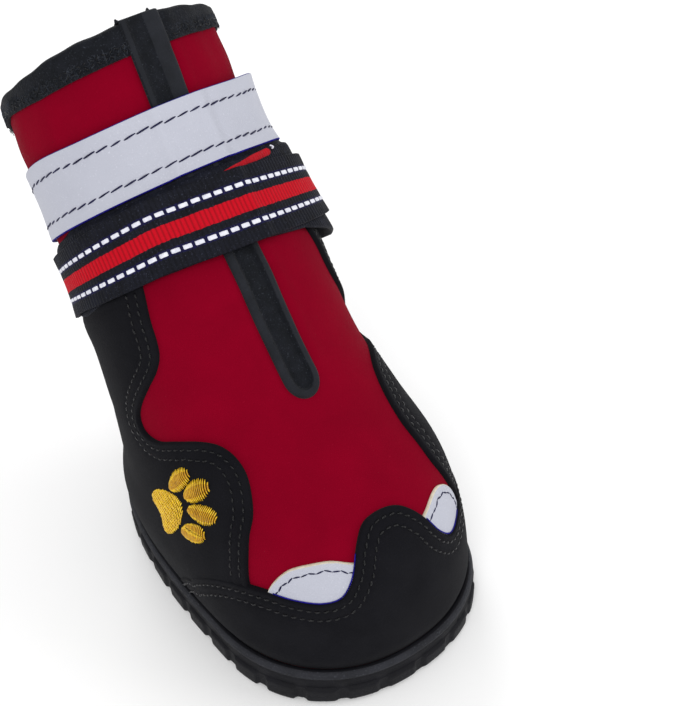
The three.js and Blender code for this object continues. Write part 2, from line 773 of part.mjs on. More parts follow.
// Chevron bars inside the ring of lugs, each as wide as the ring leaves room for.
function makeTreadBars() {
  const sides = 36;
  const room = new THREE.Shape(Array.from({ length: sides }, (_, side) => {
    const point = soleOutline(side * 360 / sides, -LUG_BAND - BAR_CLEARANCE, 0);
    return new THREE.Vector2(point.x, point.y);
  }));
  const depth = PLATE_TOP + 1;
  const roomSolid = solidFromGeometry(
    new THREE.ExtrudeGeometry(room, { depth, bevelEnabled: false }).translate(0, 0, -1),
  );
  const bars = [];
  const half = BALL_WIDTH / 2;
  const frontCount = Math.floor(FRONT_BARS_REACH * FOOT_LENGTH / BAR_PITCH);
  const backCount = Math.floor(BACK_BARS_REACH * FOOT_LENGTH / BAR_PITCH);
  for (let index = -backCount; index <= frontCount; index += 1) {
    const forward = index * BAR_PITCH;
    const outline = [
      [0, forward + BAR_WIDTH / 2], [half, forward + BAR_WIDTH / 2 - BAR_SWEEP],
      [half, forward - BAR_WIDTH / 2 - BAR_SWEEP], [0, forward - BAR_WIDTH / 2],
      [-half, forward - BAR_WIDTH / 2 - BAR_SWEEP], [-half, forward + BAR_WIDTH / 2 - BAR_SWEEP],
    ];
    const shape = new THREE.Shape(outline.map(([x, along]) => new THREE.Vector2(x, -along)));
    const low = underside(forward);
    const height = TREAD_DEPTH + BAR_ROOT - low;
    const bar = new THREE.ExtrudeGeometry(shape, { depth: height, bevelEnabled: false });
    bars.push(solidFromGeometry(bar.translate(0, 0, low)).intersect(roomSolid));
  }
  return bars;
}

function makeInsole() {
  const ring = (height, inset) => columnAngles.map((angle) => {
    const point = upperPoint(0, angle, -UPPER_WALL - GAP - inset);
    point.z = height;
    return point;
  });
  const low = PLATE_TOP + GAP;
  const high = low + INSOLE_THICKNESS;
  return ringSolid([
    ring(low, INSOLE_ROUND / 2), ring(high - INSOLE_ROUND, 0), ring(high, INSOLE_ROUND),
  ], false);
}

// The place on the outer side that lies so far forward and up from the paw print's middle.
function pawPlace(ahead, up) {
  const middle = upperFace(PAW_CENTRE.station, PAW_CENTRE.angle);
  let { station, angle } = PAW_CENTRE;
  for (let turn = 0; turn < 5; turn += 1) {
    const along = travelAlong(station, angle);
    const around = travelAround(station, angle);
    const here = upperFace(station, angle);
    const aheadLeft = ahead + here.y - middle.y;
    const upLeft = up - here.z + middle.z;
    const spread = around.y * along.z - along.y * around.z;
    station += (aheadLeft * around.z + upLeft * around.y) / spread;
    angle -= (aheadLeft * along.z + upLeft * along.y) / spread;
  }
  return { station, angle };
}

// One raised pad of the paw print, domed over the side panel.
function makePawPad({ ahead, up, length, width, turn }) {
  const cosine = Math.cos(turn * RADIANS);
  const sine = Math.sin(turn * RADIANS);
  const place = (share, spin, offset) => {
    const along = Math.cos(spin) * length * share;
    const across = Math.sin(spin) * width * share;
    const { station, angle } = pawPlace(
      (ahead + along * cosine - across * sine) * PAW_LENGTH,
      (up + along * sine + across * cosine) * PAW_LENGTH,
    );
    return upperPoint(station, angle, offset);
  };
  const sides = 12;
  const ring = (share, offset) => Array.from(
    { length: sides },
    (_, side) => place(share, side * 2 * Math.PI / sides, offset),
  );
  const low = GAP + PANEL_THICKNESS + GAP;
  return ringSolid([
    ring(0.5, low), ring(1, low), ring(1, low + PAW_THICKNESS / 2),
    ring(0.72, low + PAW_THICKNESS),
  ], false);
}

// Materials, by the real one and its colour.
const finishes = {
  rubber: { color: 0x1b1c20, roughness: 0.75 },
  blackCloth: { color: 0x17181d, roughness: 0.85 },
  redCloth: { color: 0x82001f, roughness: 0.8 },
  reflectiveTape: { color: 0xc8cad6, roughness: 0.45 },
  blackTape: { color: 0x202329, roughness: 0.85 },
  webbing: { color: 0x2a2c34, roughness: 0.7 },
  foam: { color: 0x3a3b40, roughness: 0.9 },
  thread: { color: 0xe0a800, roughness: 0.5 },
};

const bootie = new THREE.Group();

function addPiece(name, solid, finish) {
  const { vertProperties, triVerts, numProp } = solid.getMesh();
  const positions = [];
  for (let index = 0; index < vertProperties.length; index += numProp) {
    positions.push(...vertProperties.slice(index, index + 3));
  }
  const geometry = new THREE.BufferGeometry();
  geometry.setAttribute("position", new THREE.Float32BufferAttribute(positions, 3));
  geometry.setIndex([...triVerts]);
  geometry.computeVertexNormals();
  const material = new THREE.MeshStandardMaterial({ ...finishes[finish], metalness: 0 });
  const mesh = new THREE.Mesh(geometry, material);
  mesh.name = name;
  bootie.add(mesh);
}

addPiece("outsole", makeOutsole(), "rubber");
addPiece("insole", makeInsole(), "foam");
addPiece("upper", makeUpper(), "redCloth");
addPiece("toe_cap", makeToeCap(), "blackCloth");
addPiece("side_panel", makeSidePanel(), "blackCloth");
addPiece("toe_patch_left", makePatch(LEFT_PATCH_EDGE), "reflectiveTape");
addPiece("toe_patch_right", makePatch(RIGHT_PATCH_EDGE), "reflectiveTape");
addPiece("front_gusset", makeGusset(), "blackTape");
addPiece("collar_binding", makeBinding(), "blackTape");
addPiece("reflective_band", makeReflectiveBand(), "reflectiveTape");
addPiece("strap_base", makeStrapBase(), "blackTape");
addPiece("webbing_strap", makeWebbingStrap(), "webbing");
for (const pad of PAW_PADS) addPiece(pad.name, makePawPad(pad), "thread");

export default bootie;
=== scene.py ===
"""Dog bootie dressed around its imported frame: softshell upper, rubber cup sole and two straps."""

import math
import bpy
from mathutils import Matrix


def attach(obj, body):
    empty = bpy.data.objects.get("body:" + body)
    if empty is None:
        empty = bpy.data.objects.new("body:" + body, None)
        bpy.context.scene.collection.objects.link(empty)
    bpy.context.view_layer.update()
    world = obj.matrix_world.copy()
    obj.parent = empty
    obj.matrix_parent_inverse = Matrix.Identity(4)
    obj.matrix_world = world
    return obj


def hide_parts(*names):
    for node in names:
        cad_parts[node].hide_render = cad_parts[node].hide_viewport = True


bl_info = {
    "name": "Dog Bootie",
    "version": (1, 0, 0),
    "blender": (4, 5, 0),
    "location": "View3D > Sidebar > Bootie",
    "description": "Builds the cloth, tape, thread and rubber of a dog bootie",
    "category": "Add Mesh",
}

import bpy
import numpy as np
from bpy.props import FloatProperty, FloatVectorProperty, PointerProperty
from mathutils import Matrix, Vector
from mathutils.geometry import delaunay_2d_cdt
from mathutils.kdtree import KDTree

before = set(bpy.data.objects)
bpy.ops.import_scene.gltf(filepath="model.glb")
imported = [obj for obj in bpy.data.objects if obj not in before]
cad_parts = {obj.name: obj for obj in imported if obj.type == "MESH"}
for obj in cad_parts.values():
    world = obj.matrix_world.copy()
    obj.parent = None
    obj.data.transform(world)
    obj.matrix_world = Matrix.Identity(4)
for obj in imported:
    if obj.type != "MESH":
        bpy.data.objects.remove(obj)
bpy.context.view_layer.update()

MM = 0.001

# The last's sizes in millimetres, the same as the frame's.
FOOT_LENGTH = 104.0
BALL_WIDTH = 71.0
INSTEP_HEIGHT = 66.0
HEEL_HEIGHT = 47.0
COLLAR_FRONT_HEIGHT = 144.0
COLLAR_BACK_HEIGHT = 108.3
COLLAR_WIDTH = 55.6
SHAFT_LEAN = 36.0
GAP = 0.3
PLATE_TOP = 4.0
TREAD_DEPTH = 2.2
LIP_HEIGHT = 10.0
LIP_WALL = 2.0
LUG_PITCH = 10.4
LUG_PROUD = 0.9
LUG_BAND = 7.0
BINDING_DEPTH = 7.5
BAND_WIDTH = 17.5
BAND_STATION = 0.83
STRAP_WIDTH = 18.2
STRAP_FREE_END = -106.0
STRAP_SEWN_END = 246.5
BAND_SLACK = 3.2
STRAP_SLACK = 4.6
SLACK_ANGLE = 80.0
SLACK_SPREAD = 50.0
OVER_GUSSET = 0.8

# Sections from the upper's lower edge (station 0) to the rim (station 1): front reach and
# rise, back reach and rise, lean, ball and collar shares of the half width, the widest
# place, and the roundness before and behind it.
SECTIONS = np.array([
    [0.00, 0.546, 0.000, -0.453, 0.000, 0.00, 0.455, 0.000, 0.28, 2.2, 2.7],
    [0.06, 0.561, 0.113, -0.467, 0.140, 0.00, 0.476, 0.000, 0.33, 2.2, 2.7],
    [0.13, 0.552, 0.395, -0.464, 0.326, 0.00, 0.500, 0.000, 0.43, 2.2, 2.4],
    [0.22, 0.495, 0.661, -0.451, 0.535, 0.00, 0.486, 0.000, 0.48, 2.2, 2.2],
    [0.32, 0.364, 0.826, -0.438, 0.744, 0.00, 0.468, 0.000, 0.50, 2.1, 2.1],
    [0.44, 0.201, 1.000, -0.432, 1.000, 0.00, 0.452, 0.000, 0.50, 2.1, 2.1],
    [0.58, 0.044, 1.253, -0.456, 1.207, 0.00, 0.437, 0.000, 0.50, 2.1, 2.1],
    [0.70, 0.028, 1.465, -0.420, 1.378, 0.30, 0.200, 0.284, 0.50, 2.1, 2.1],
    [0.82, 0.020, 1.658, -0.406, 1.597, 0.62, 0.070, 0.430, 0.50, 2.1, 2.1],
    [1.00, 0.003, 2.000, -0.420, 2.000, 1.00, 0.000, 0.500, 0.50, 2.1, 2.1],
])

# Edges of the sewn-on pieces as (station, angle) pairs. Angle 0 is the front line.
TOE_CAP_EDGE = [
    (0.060, -100), (0.108, -91), (0.141, -79), (0.158, -68), (0.162, -55), (0.154, -43),
    (0.150, -33), (0.156, -26), (0.178, -21), (0.217, -16), (0.244, -10), (0.250, -2),
    (0.241, 4), (0.214, 10), (0.176, 16), (0.155, 23), (0.155, 31), (0.162, 42),
    (0.162, 56), (0.157, 69), (0.140, 80), (0.108, 90), (0.060, 99),
]
LEFT_PANEL_EDGE = [
    (0.062, -60), (0.165, -59), (0.200, -57), (0.240, -53), (0.280, -47), (0.320, -43),
    (0.355, -41), (0.385, -42), (0.404, -46), (0.411, -54), (0.407, -66), (0.400, -76),
    (0.412, -82), (0.440, -82), (0.470, -77), (0.502, -68), (0.530, -59), (0.556, -54),
    (0.610, -51), (0.668, -48),
]
RIGHT_PANEL_EDGE = [
    (0.062, 44), (0.165, 41), (0.200, 37), (0.240, 33), (0.280, 33), (0.320, 33),
    (0.355, 35), (0.385, 39), (0.404, 44), (0.413, 53), (0.409, 64), (0.402, 74),
    (0.414, 80), (0.440, 80), (0.470, 75), (0.502, 66), (0.530, 57), (0.556, 52),
    (0.610, 48), (0.668, 46),
]
LEFT_PATCH_EDGE = [
    (0.150, -54), (0.168, -51), (0.184, -47), (0.197, -42), (0.204, -35), (0.206, -27),
    (0.198, -20), (0.188, -12),
]
RIGHT_PATCH_EDGE = [
    (0.200, 6), (0.211, 14), (0.219, 21), (0.217, 27), (0.203, 33), (0.178, 38), (0.150, 40),
]
STRAP_CENTRE = [
    (-180, 0.688), (-150, 0.691), (-108, 0.696), (-65, 0.707), (-32, 0.714), (-7, 0.708),
    (7, 0.705), (38, 0.697), (61, 0.690), (95, 0.680), (150, 0.682), (180, 0.688),
]
STRAP_BASE_EDGES = [
    (-112, 0.630, 0.754), (-92, 0.634, 0.770), (-70, 0.652, 0.786), (-60, 0.660, 0.788),
    (0, 0.655, 0.788), (40, 0.636, 0.786), (61, 0.612, 0.778), (80, 0.588, 0.770),
    (98, 0.574, 0.764), (108, 0.576, 0.762),
]
# How much of its full depth the collar's binding has around the rim: angle and share.
BINDING_SHARES = [
    (-180, 1.00), (-130, 0.88), (-95, 0.62), (-62, 0.92), (-30, 1.00), (10, 1.00),
    (35, 0.90), (65, 0.62), (100, 0.72), (150, 0.97), (180, 1.00),
]

# Soft folds of the cloth: station, angle, half length and half width in
# millimetres, turn from level in degrees, and height, which is below 0 for a trough.
FOLDS = [
    (0.530, -30, 15, 4.0, 14, -0.45), (0.500, 28, 13, 4.0, -12, -0.40),
    (0.562, 30, 10, 3.5, -20, 0.30), (0.480, -34, 12, 5.0, 10, 0.30),
    (0.575, 84, 6, 3.6, 5, 0.80), (0.545, 88, 8, 3.0, 0, -0.50),
    (0.600, 178, 17, 2.8, 2, -0.70), (0.552, 172, 20, 3.2, 4, -0.85),
    (0.505, -172, 15, 3.4, -5, -0.55), (0.578, -176, 16, 2.4, 0, 0.45),
    (0.528, 176, 18, 2.4, 2, 0.45), (0.440, 128, 12, 4.0, 24, -0.40),
    (0.445, -132, 12, 4.0, -22, -0.45), (0.360, 150, 10, 6.0, 40, 0.35),
    (0.350, -20, 9, 6.0, 60, -0.30), (0.300, 16, 9, 5.0, -60, -0.25),
    (0.930, -52, 7, 4.0, 70, -0.45), (0.940, 36, 7, 4.0, 100, -0.40),
    (0.950, -88, 8, 5.0, 80, 0.40), (0.955, 128, 9, 6.0, 90, 0.55),
    (0.950, -140, 9, 6.0, 90, -0.60), (0.770, 180, 14, 3.0, 0, -0.45),
    (0.240, -120, 13, 7.0, 12, -0.30), (0.230, 118, 13, 7.0, -12, -0.30),
]
AROUND_SCALE = 0.60
ALONG_SCALE = 150.0


def step_smooth(value):
    """A soft step from 0 to 1."""
    share = np.clip(value, 0.0, 1.0)
    return share * share * (3.0 - 2.0 * share)


def bump_at(value, centre, spread):
    """A soft bump of height 1."""
    return np.exp(-(((value - centre) / spread) ** 2))


def wrapped(angle):
    return (np.asarray(angle, float) + 180.0) % 360.0 - 180.0


def rise(share, bend, collar):
    bottom = PLATE_TOP + GAP
    past = np.maximum(share - 1.0, 0.0) * (collar - bend)
    return bottom + np.minimum(share, 1.0) * (bend - bottom) + past


LEAN = SECTIONS[:, 5] * SHAFT_LEAN
SECTION_COLUMNS = np.stack([
    SECTIONS[:, 1] * FOOT_LENGTH - LEAN,
    rise(SECTIONS[:, 2], INSTEP_HEIGHT, COLLAR_FRONT_HEIGHT),
    SECTIONS[:, 3] * FOOT_LENGTH - LEAN,
    rise(SECTIONS[:, 4], HEEL_HEIGHT, COLLAR_BACK_HEIGHT),
    SECTIONS[:, 6] * BALL_WIDTH + SECTIONS[:, 7] * COLLAR_WIDTH,
    SECTIONS[:, 8], SECTIONS[:, 9], SECTIONS[:, 10],
])


def through(positions, values, place):
    """Cubic curve through a table, with slopes taken across the neighbours."""
    slopes = np.empty_like(values)
    slopes[1:-1] = (values[2:] - values[:-2]) / (positions[2:] - positions[:-2])
    slopes[0] = (values[1] - values[0]) / (positions[1] - positions[0])
    slopes[-1] = (values[-1] - values[-2]) / (positions[-1] - positions[-2])
    index = np.clip(np.searchsorted(positions, place, side="right") - 1, 0, len(positions) - 2)
    span = positions[index + 1] - positions[index]
    t = (place - positions[index]) / span
    leave = (t**3 - 2 * t**2 + t) * span * slopes[index]
    arrive = (t**3 - t**2) * span * slopes[index + 1]
    ends = (2 * t**3 - 3 * t**2 + 1) * values[index] + (3 * t**2 - 2 * t**3) * values[index + 1]
    return ends + leave + arrive


def section_point(cells, angle, growth):
    """A point of a section, grown in its own plane by millimetres."""
    front, front_height, back, back_height, half_width, widest, front_round, back_round = cells
    run = front - back
    climb = front_height - back_height
    length = np.hypot(run, climb)
    cosine = np.cos(np.radians(angle))
    sine = np.sin(np.radians(angle))
    power = np.where(cosine >= 0, front_round, back_round)
    reach = np.where(cosine >= 0, length * widest, length * (1 - widest)) + growth
    along = np.sign(cosine) * np.abs(cosine) ** (2 / power) * reach - length * widest
    side = np.sign(sine) * np.abs(sine) ** (2 / power) * (half_width + growth)
    height = front_height + climb / length * along
    return np.stack([side, -(front + run / length * along), height], axis=-1)


def last_face(station, angle):
    station, angle = np.broadcast_arrays(np.asarray(station, float), np.asarray(angle, float))
    cells = [through(SECTIONS[:, 0], column, station) for column in SECTION_COLUMNS]
    return section_point(cells, angle, 0.0)


def travel(station, angle):
    """Movement over the last for a full station, and for a degree."""
    along = (last_face(station + 0.004, angle) - last_face(station - 0.004, angle)) / 0.008
    around = (last_face(station, angle + 1.5) - last_face(station, angle - 1.5)) / 3.0
    return along, around


def unit(vectors):
    return vectors / np.linalg.norm(vectors, axis=-1, keepdims=True)


def dot(first, second):
    return np.sum(first * second, axis=-1)


def folds(station, angle):
    """Height of the cloth's folds, and of the swell above and below each strap."""
    height = np.zeros(station.shape)
    for at_station, at_angle, length, width, turn, size in FOLDS:
        across = wrapped(angle - at_angle) * AROUND_SCALE
        up = (station - at_station) * ALONG_SCALE
        cosine = math.cos(math.radians(turn))
        sine = math.sin(math.radians(turn))
        level = across * cosine + up * sine
        rest = up * cosine - across * sine
        height += size * np.exp(-((level / length) ** 2) - (rest / width) ** 2)
    height += 0.45 * bump_at(station, 0.605, 0.030) - 0.45 * bump_at(station, 0.700, 0.040)
    height += 0.35 * bump_at(station, 0.925, 0.026) - 0.30 * bump_at(station, 0.830, 0.040)
    beside = np.abs(wrapped(angle)) * 0.58
    channel = 0.35 * bump_at(beside, 6.6, 1.8) - 0.15 * bump_at(beside, 4.6, 0.8)
    height += channel * step_smooth((station - 0.44) / 0.05)
    return height * bpy.context.scene.bootie_sizes.fold_strength


def skin(station, angle, offset):
    """A point so many millimetres off the folded upper's outer face."""
    station, angle = np.broadcast_arrays(np.asarray(station, float), np.asarray(angle, float))
    along, around = travel(station, angle)
    normal = unit(np.cross(around, along))
    height = np.asarray(offset, float) + folds(station, angle)
    return last_face(station, angle) + normal * height[..., None]


def skin_normal(station, angle):
    along, around = travel(station, angle)
    return unit(np.cross(around, along))


def lip_station():
    low = 0.0
    high = 0.3
    for _ in range(40):
        middle = (low + high) / 2
        if last_face(middle, 0.0)[2] < LIP_HEIGHT:
            low = middle
        else:
            high = middle
    return (low + high) / 2


LIP_STATION = lip_station()
COLLAR_SCALE = float(np.linalg.norm(last_face(1.0, 0.0) - last_face(0.98, 0.0)) / 0.02)
RIM_STATION = 1 - 1.0 / COLLAR_SCALE
STRAP_SCALE = float(np.linalg.norm(last_face(0.71, 0.0) - last_face(0.69, 0.0)) / 0.02)
BAND_SCALE = float(np.linalg.norm(last_face(0.84, 0.0) - last_face(0.82, 0.0)) / 0.02)


# Paths over the upper, as rows of station and angle.


def smooth_path(points, steps=8):
    """A soft curve through given points."""
    table = np.array(points, float)
    spacing = np.hypot(np.diff(table[:, 0]) * ALONG_SCALE, np.diff(table[:, 1]) * AROUND_SCALE)
    positions = np.concatenate([[0.0], np.cumsum(spacing)])
    places = np.linspace(0.0, positions[-1], steps * len(points))
    columns = [through(positions, table[:, column], places) for column in (0, 1)]
    return np.stack(columns, axis=-1)


def even_path(path, pitch, offset=0.0):
    """The path again with its points an even number of millimetres apart."""
    points = skin(path[:, 0], path[:, 1], offset)
    lengths = np.concatenate([[0.0], np.cumsum(np.linalg.norm(np.diff(points, axis=0), axis=1))])
    count = max(2, int(round(lengths[-1] / pitch)) + 1)
    places = np.linspace(0.0, lengths[-1], count)
    return np.stack([np.interp(places, lengths, path[:, column]) for column in (0, 1)], axis=-1)


def beside(path, distance):
    """The path moved to its left by millimetres, seen from outside, along the last."""
    along, around = travel(path[:, 0], path[:, 1])
    steps = np.gradient(path, axis=0)
    tangent = unit(along * steps[:, :1] + around * steps[:, 1:])
    left = np.cross(unit(np.cross(around, along)), tangent)
    aa, ab, bb = dot(along, along), dot(along, around), dot(around, around)
    left_along, left_around = dot(left, along), dot(left, around)
    spread = aa * bb - ab * ab
    change = np.stack([
        (bb * left_along - ab * left_around) / spread,
        (aa * left_around - ab * left_along) / spread,
    ], axis=-1)
    return path + np.asarray(distance, float).reshape(-1, 1) * change


def tree_of(points):
    tree = KDTree(len(points))
    for index, point in enumerate(points):
        tree.insert(Vector(point), index)
    tree.balance()
    return tree


def distances(tree, points):
    return np.array([tree.find(Vector(point))[2] for point in points])


def inset_path(path, distance):
    """The path moved to its left, without the loops that tight corners would leave."""
    fine = even_path(path, 0.4)
    moved = beside(fine, distance)
    tree = tree_of(last_face(fine[:, 0], fine[:, 1]))
    far = distances(tree, last_face(moved[:, 0], moved[:, 1])) > abs(distance) * 0.95
    return moved[far]


# Meshes.


def grid_faces(rows, columns, around_rows=False, around_columns=False):
    row = np.arange(rows if around_rows else rows - 1)
    column = np.arange(columns if around_columns else columns - 1)
    row, column = (table.ravel() for table in np.meshgrid(row, column, indexing="ij"))
    next_row = (row + 1) % rows
    next_column = (column + 1) % columns
    corners = [row * columns + column, row * columns + next_column,
               next_row * columns + next_column, next_row * columns + column]
    return np.stack(corners, axis=-1)


def make_piece(name, points, faces, finishes, **options):
    """A mesh object on the frame's body. Options: slot, replaces, across and face_finish. Slot is not
    used.
    """
    mesh = bpy.data.meshes.new(name)
    rows = faces if isinstance(faces, list) else faces.tolist()
    mesh.from_pydata((np.asarray(points, float).reshape(-1, 3) * MM).tolist(), [], rows)
    for finish in finishes:
        mesh.materials.append(material(finish))
    mesh.polygons.foreach_set("use_smooth", [True] * len(mesh.polygons))
    if options.get("face_finish") is not None:
        mesh.polygons.foreach_set("material_index", np.asarray(options["face_finish"], int))
    if options.get("across") is not None:
        layer = mesh.uv_layers.new(name="across")
        corner = np.zeros(len(mesh.loops), int)
        mesh.loops.foreach_get("vertex_index", corner)
        layer.data.foreach_set("uv", np.asarray(options["across"])[corner].ravel())
    if options.get("sharp"):
        mesh.set_sharp_from_angle(angle=math.radians(options["sharp"]))
    mesh.update()
    piece = bpy.data.objects.new(name, mesh)
    bpy.context.scene.collection.objects.link(piece)
    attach(piece, "root")
    if options.get("replaces"):
        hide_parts(*options["replaces"])
    return piece


def join_parts(parts):
    """Points and faces of several meshes as one."""
    points = []
    faces = []
    start = 0
    for part_points, part_faces in parts:
        part_points = np.asarray(part_points, float).reshape(-1, 3)
        points.append(part_points)
        faces.extend([[index + start for index in face] for face in list(part_faces)])
        start += len(part_points)
    return np.concatenate(points), faces


def cut_sheet(name, outline, seam, profile, low, pitch, rows, finishes, **options):
    """A sheet cut to an outline on the upper, with its rim rolled down, closed underneath.

    The outline runs to the left as seen from outside, seam is the part of it that shows,
    rows are distances in from the outline that get points of their own, and profile gives
    the height from the distances to the outline and to the seam."""
    scale = np.array([ALONG_SCALE, AROUND_SCALE * 1.4])
    edge = even_path(outline, 0.6)[:-1]
    fine = np.concatenate([edge + (np.roll(edge, -1, axis=0) - edge) * share
                           for share in (0.0, 0.25, 0.5, 0.75)])
    edge_tree = tree_of(last_face(fine[:, 0], fine[:, 1]))
    seam_fine = even_path(seam, 0.2)
    seam_tree = tree_of(last_face(seam_fine[:, 0], seam_fine[:, 1]))
    loop = np.concatenate([edge[-1:], edge, edge[:1]])
    inner = []
    for distance in rows:
        moved = beside(loop, distance)[1:-1]
        if distance > 1.0:
            moved = moved[::2]
        far = distances(edge_tree, last_face(moved[:, 0], moved[:, 1])) > distance * 0.9
        inner.append(moved[far])
    low_corner = edge.min(axis=0)
    high_corner = edge.max(axis=0)
    stations = np.arange(low_corner[0], high_corner[0], pitch / ALONG_SCALE)
    angles = np.arange(low_corner[1], high_corner[1], pitch / scale[1])
    grid = np.stack(np.meshgrid(stations, angles, indexing="ij"), axis=-1)
    grid[::2, :, 1] += pitch / scale[1] / 2
    grid = grid.reshape(-1, 2)
    spaced = distances(tree_of(last_face(*np.concatenate([edge, *inner]).T)), last_face(*grid.T))
    inner.append(grid[spaced > pitch * 0.55])
    flat = np.concatenate([edge, *inner]) * scale
    count = len(edge)
    ring = [(index, (index + 1) % count) for index in range(count)]
    flat = [Vector((place[1], place[0])) for place in flat]
    made = delaunay_2d_cdt(flat, ring, [], 1, 1e-6)
    places = np.array([(point.y, point.x) for point in made[0]]) / scale
    triangles = np.array(made[2])
    bare = last_face(places[:, 0], places[:, 1])
    to_edge = distances(edge_tree, bare)
    to_seam = distances(seam_tree, bare)
    base = low(places[:, 0], places[:, 1]) if callable(low) else low
    tuck = 0.25 + 0.75 * step_smooth((places[:, 0] - LIP_STATION) / 0.024)
    top = skin(places[:, 0], places[:, 1], base + profile(to_edge, to_seam) * tuck)
    bottom = skin(places[:, 0], places[:, 1], base)
    edges = {}
    for a, b, c in triangles.tolist():
        for start, end in ((a, b), (b, c), (c, a)):
            edges[(start, end)] = True
    rim = [pair for pair in edges if (pair[1], pair[0]) not in edges]
    size = len(places)
    faces = triangles.tolist() + (triangles[:, ::-1] + size).tolist()
    faces += [[end, start, start + size, end + size] for start, end in rim]
    marker = options.pop("rim_finish", None)
    if marker is not None:
        near = to_edge[triangles].max(axis=1) < marker
        used = np.zeros(len(faces), int)
        used[:len(triangles)][near] = 1
        used[2 * len(triangles):] = 1
        options["face_finish"] = used
    return make_piece(name, np.concatenate([top, bottom]), faces, finishes, **options)


def rolled(distance, radius):
    """Share of the full thickness at a distance in from a rolled rim."""
    inward = np.clip(distance / radius, 0.0, 1.0)
    return 0.06 + 0.94 * np.sqrt(1.0 - (1.0 - inward) ** 2)


def thread_bundle(centres, normals, radii, sides=6, flatness=0.8):
    """Closed threads along rows of centres, one for each row."""
    tangents = unit(np.gradient(centres, axis=1))
    across = unit(np.cross(tangents, normals))
    upward = np.cross(across, tangents)
    spin = np.arange(sides) * 2 * math.pi / sides
    ring = (np.cos(spin)[:, None] * across[:, :, None, :]
            + np.sin(spin)[:, None] * flatness * upward[:, :, None, :])
    points = centres[:, :, None, :] + radii[..., None, None] * ring
    count, rings = centres.shape[:2]
    one = grid_faces(rings, sides, around_columns=True)
    caps = [list(range(sides))[::-1], [(rings - 1) * sides + side for side in range(sides)]]
    faces = []
    for thread in range(count):
        start = thread * rings * sides
        faces.extend((one + start).tolist())
        faces.extend([[start + index for index in cap] for cap in caps])
    return points.reshape(-1, 3), faces


def stitch_row(path, offset, length, gap, width, swing=0.0, zigzag=0.0, taper=0.55):
    """A row of stitches over a path: each one an arched thread with both ends in the cloth.

    Swing slants every stitch the same way, zigzag slants them in turn, and taper is how
    much thinner the thread is where it enters the cloth."""
    points = skin(path[:, 0], path[:, 1], offset)
    lengths = np.concatenate([[0.0], np.cumsum(np.linalg.norm(np.diff(points, axis=0), axis=1))])
    pitch = length + gap
    count = int(lengths[-1] / pitch)
    share = np.linspace(0.0, 1.0, 7)
    starts = (np.arange(count) + 0.5 * gap / pitch) * pitch + (lengths[-1] - count * pitch) / 2
    places = starts[:, None] + share * length
    station = np.interp(places, lengths, path[:, 0])
    angle = np.interp(places, lengths, path[:, 1])
    rng = np.random.default_rng(count)
    turn = np.where(np.arange(count) % 2 == 0, 1.0, -1.0)[:, None] * zigzag + swing
    turn = turn + rng.uniform(-0.12, 0.12, (count, 1)) * min(1.0, width / 0.4)
    shift = turn * (share - 0.5) * 2.0 + rng.uniform(-0.07, 0.07, (count, 1))
    flat = np.stack([station.ravel(), angle.ravel()], axis=-1)
    moved = beside(flat, shift.ravel()).reshape(count, 7, 2)
    station, angle = moved[..., 0], moved[..., 1]
    high = np.asarray(offset) - width * 0.35 + 0.35 * width * np.sin(math.pi * share)
    centres = skin(station, angle, np.broadcast_to(high, station.shape))
    radii = width / 2 * (1 - taper + taper * np.sin(math.pi * share) ** 0.5)
    radii = radii * rng.uniform(0.85, 1.08, (count, 1))
    return thread_bundle(centres, skin_normal(station, angle), radii)


# Materials.


def linear(code):
    """An sRGB hex colour as linear red, green, blue and alpha."""
    shares = [int(code[place:place + 2], 16) / 255 for place in (1, 3, 5)]
    curve = [share / 12.92 if share <= 0.04045 else ((share + 0.055) / 1.055) ** 2.4
             for share in shares]
    return (*curve, 1.0)


def grain(size):
    """Texture scale for spots so many millimetres across."""
    return 1.0 / (size * MM)


def bands(pitch):
    """Wave texture scale for bands so many millimetres apart."""
    return math.pi / 10 / (pitch * MM)


def add(tree, kind, links=None, stops=None, **settings):
    """Adds a node. Links holds its inputs, as sockets or numbers, and stops a ramp's colours."""
    node = tree.nodes.new(kind)
    for key, value in settings.items():
        setattr(node, key, value)
    for key, value in (links or {}).items():
        if isinstance(value, bpy.types.NodeSocket):
            tree.links.new(value, node.inputs[key])
        else:
            node.inputs[key].default_value = value
    if stops:
        ramp = node.color_ramp
        for index, (place, colour) in enumerate(stops):
            stop = ramp.elements[index] if index < 2 else ramp.elements.new(place)
            stop.position = place
            stop.color = colour
    return node


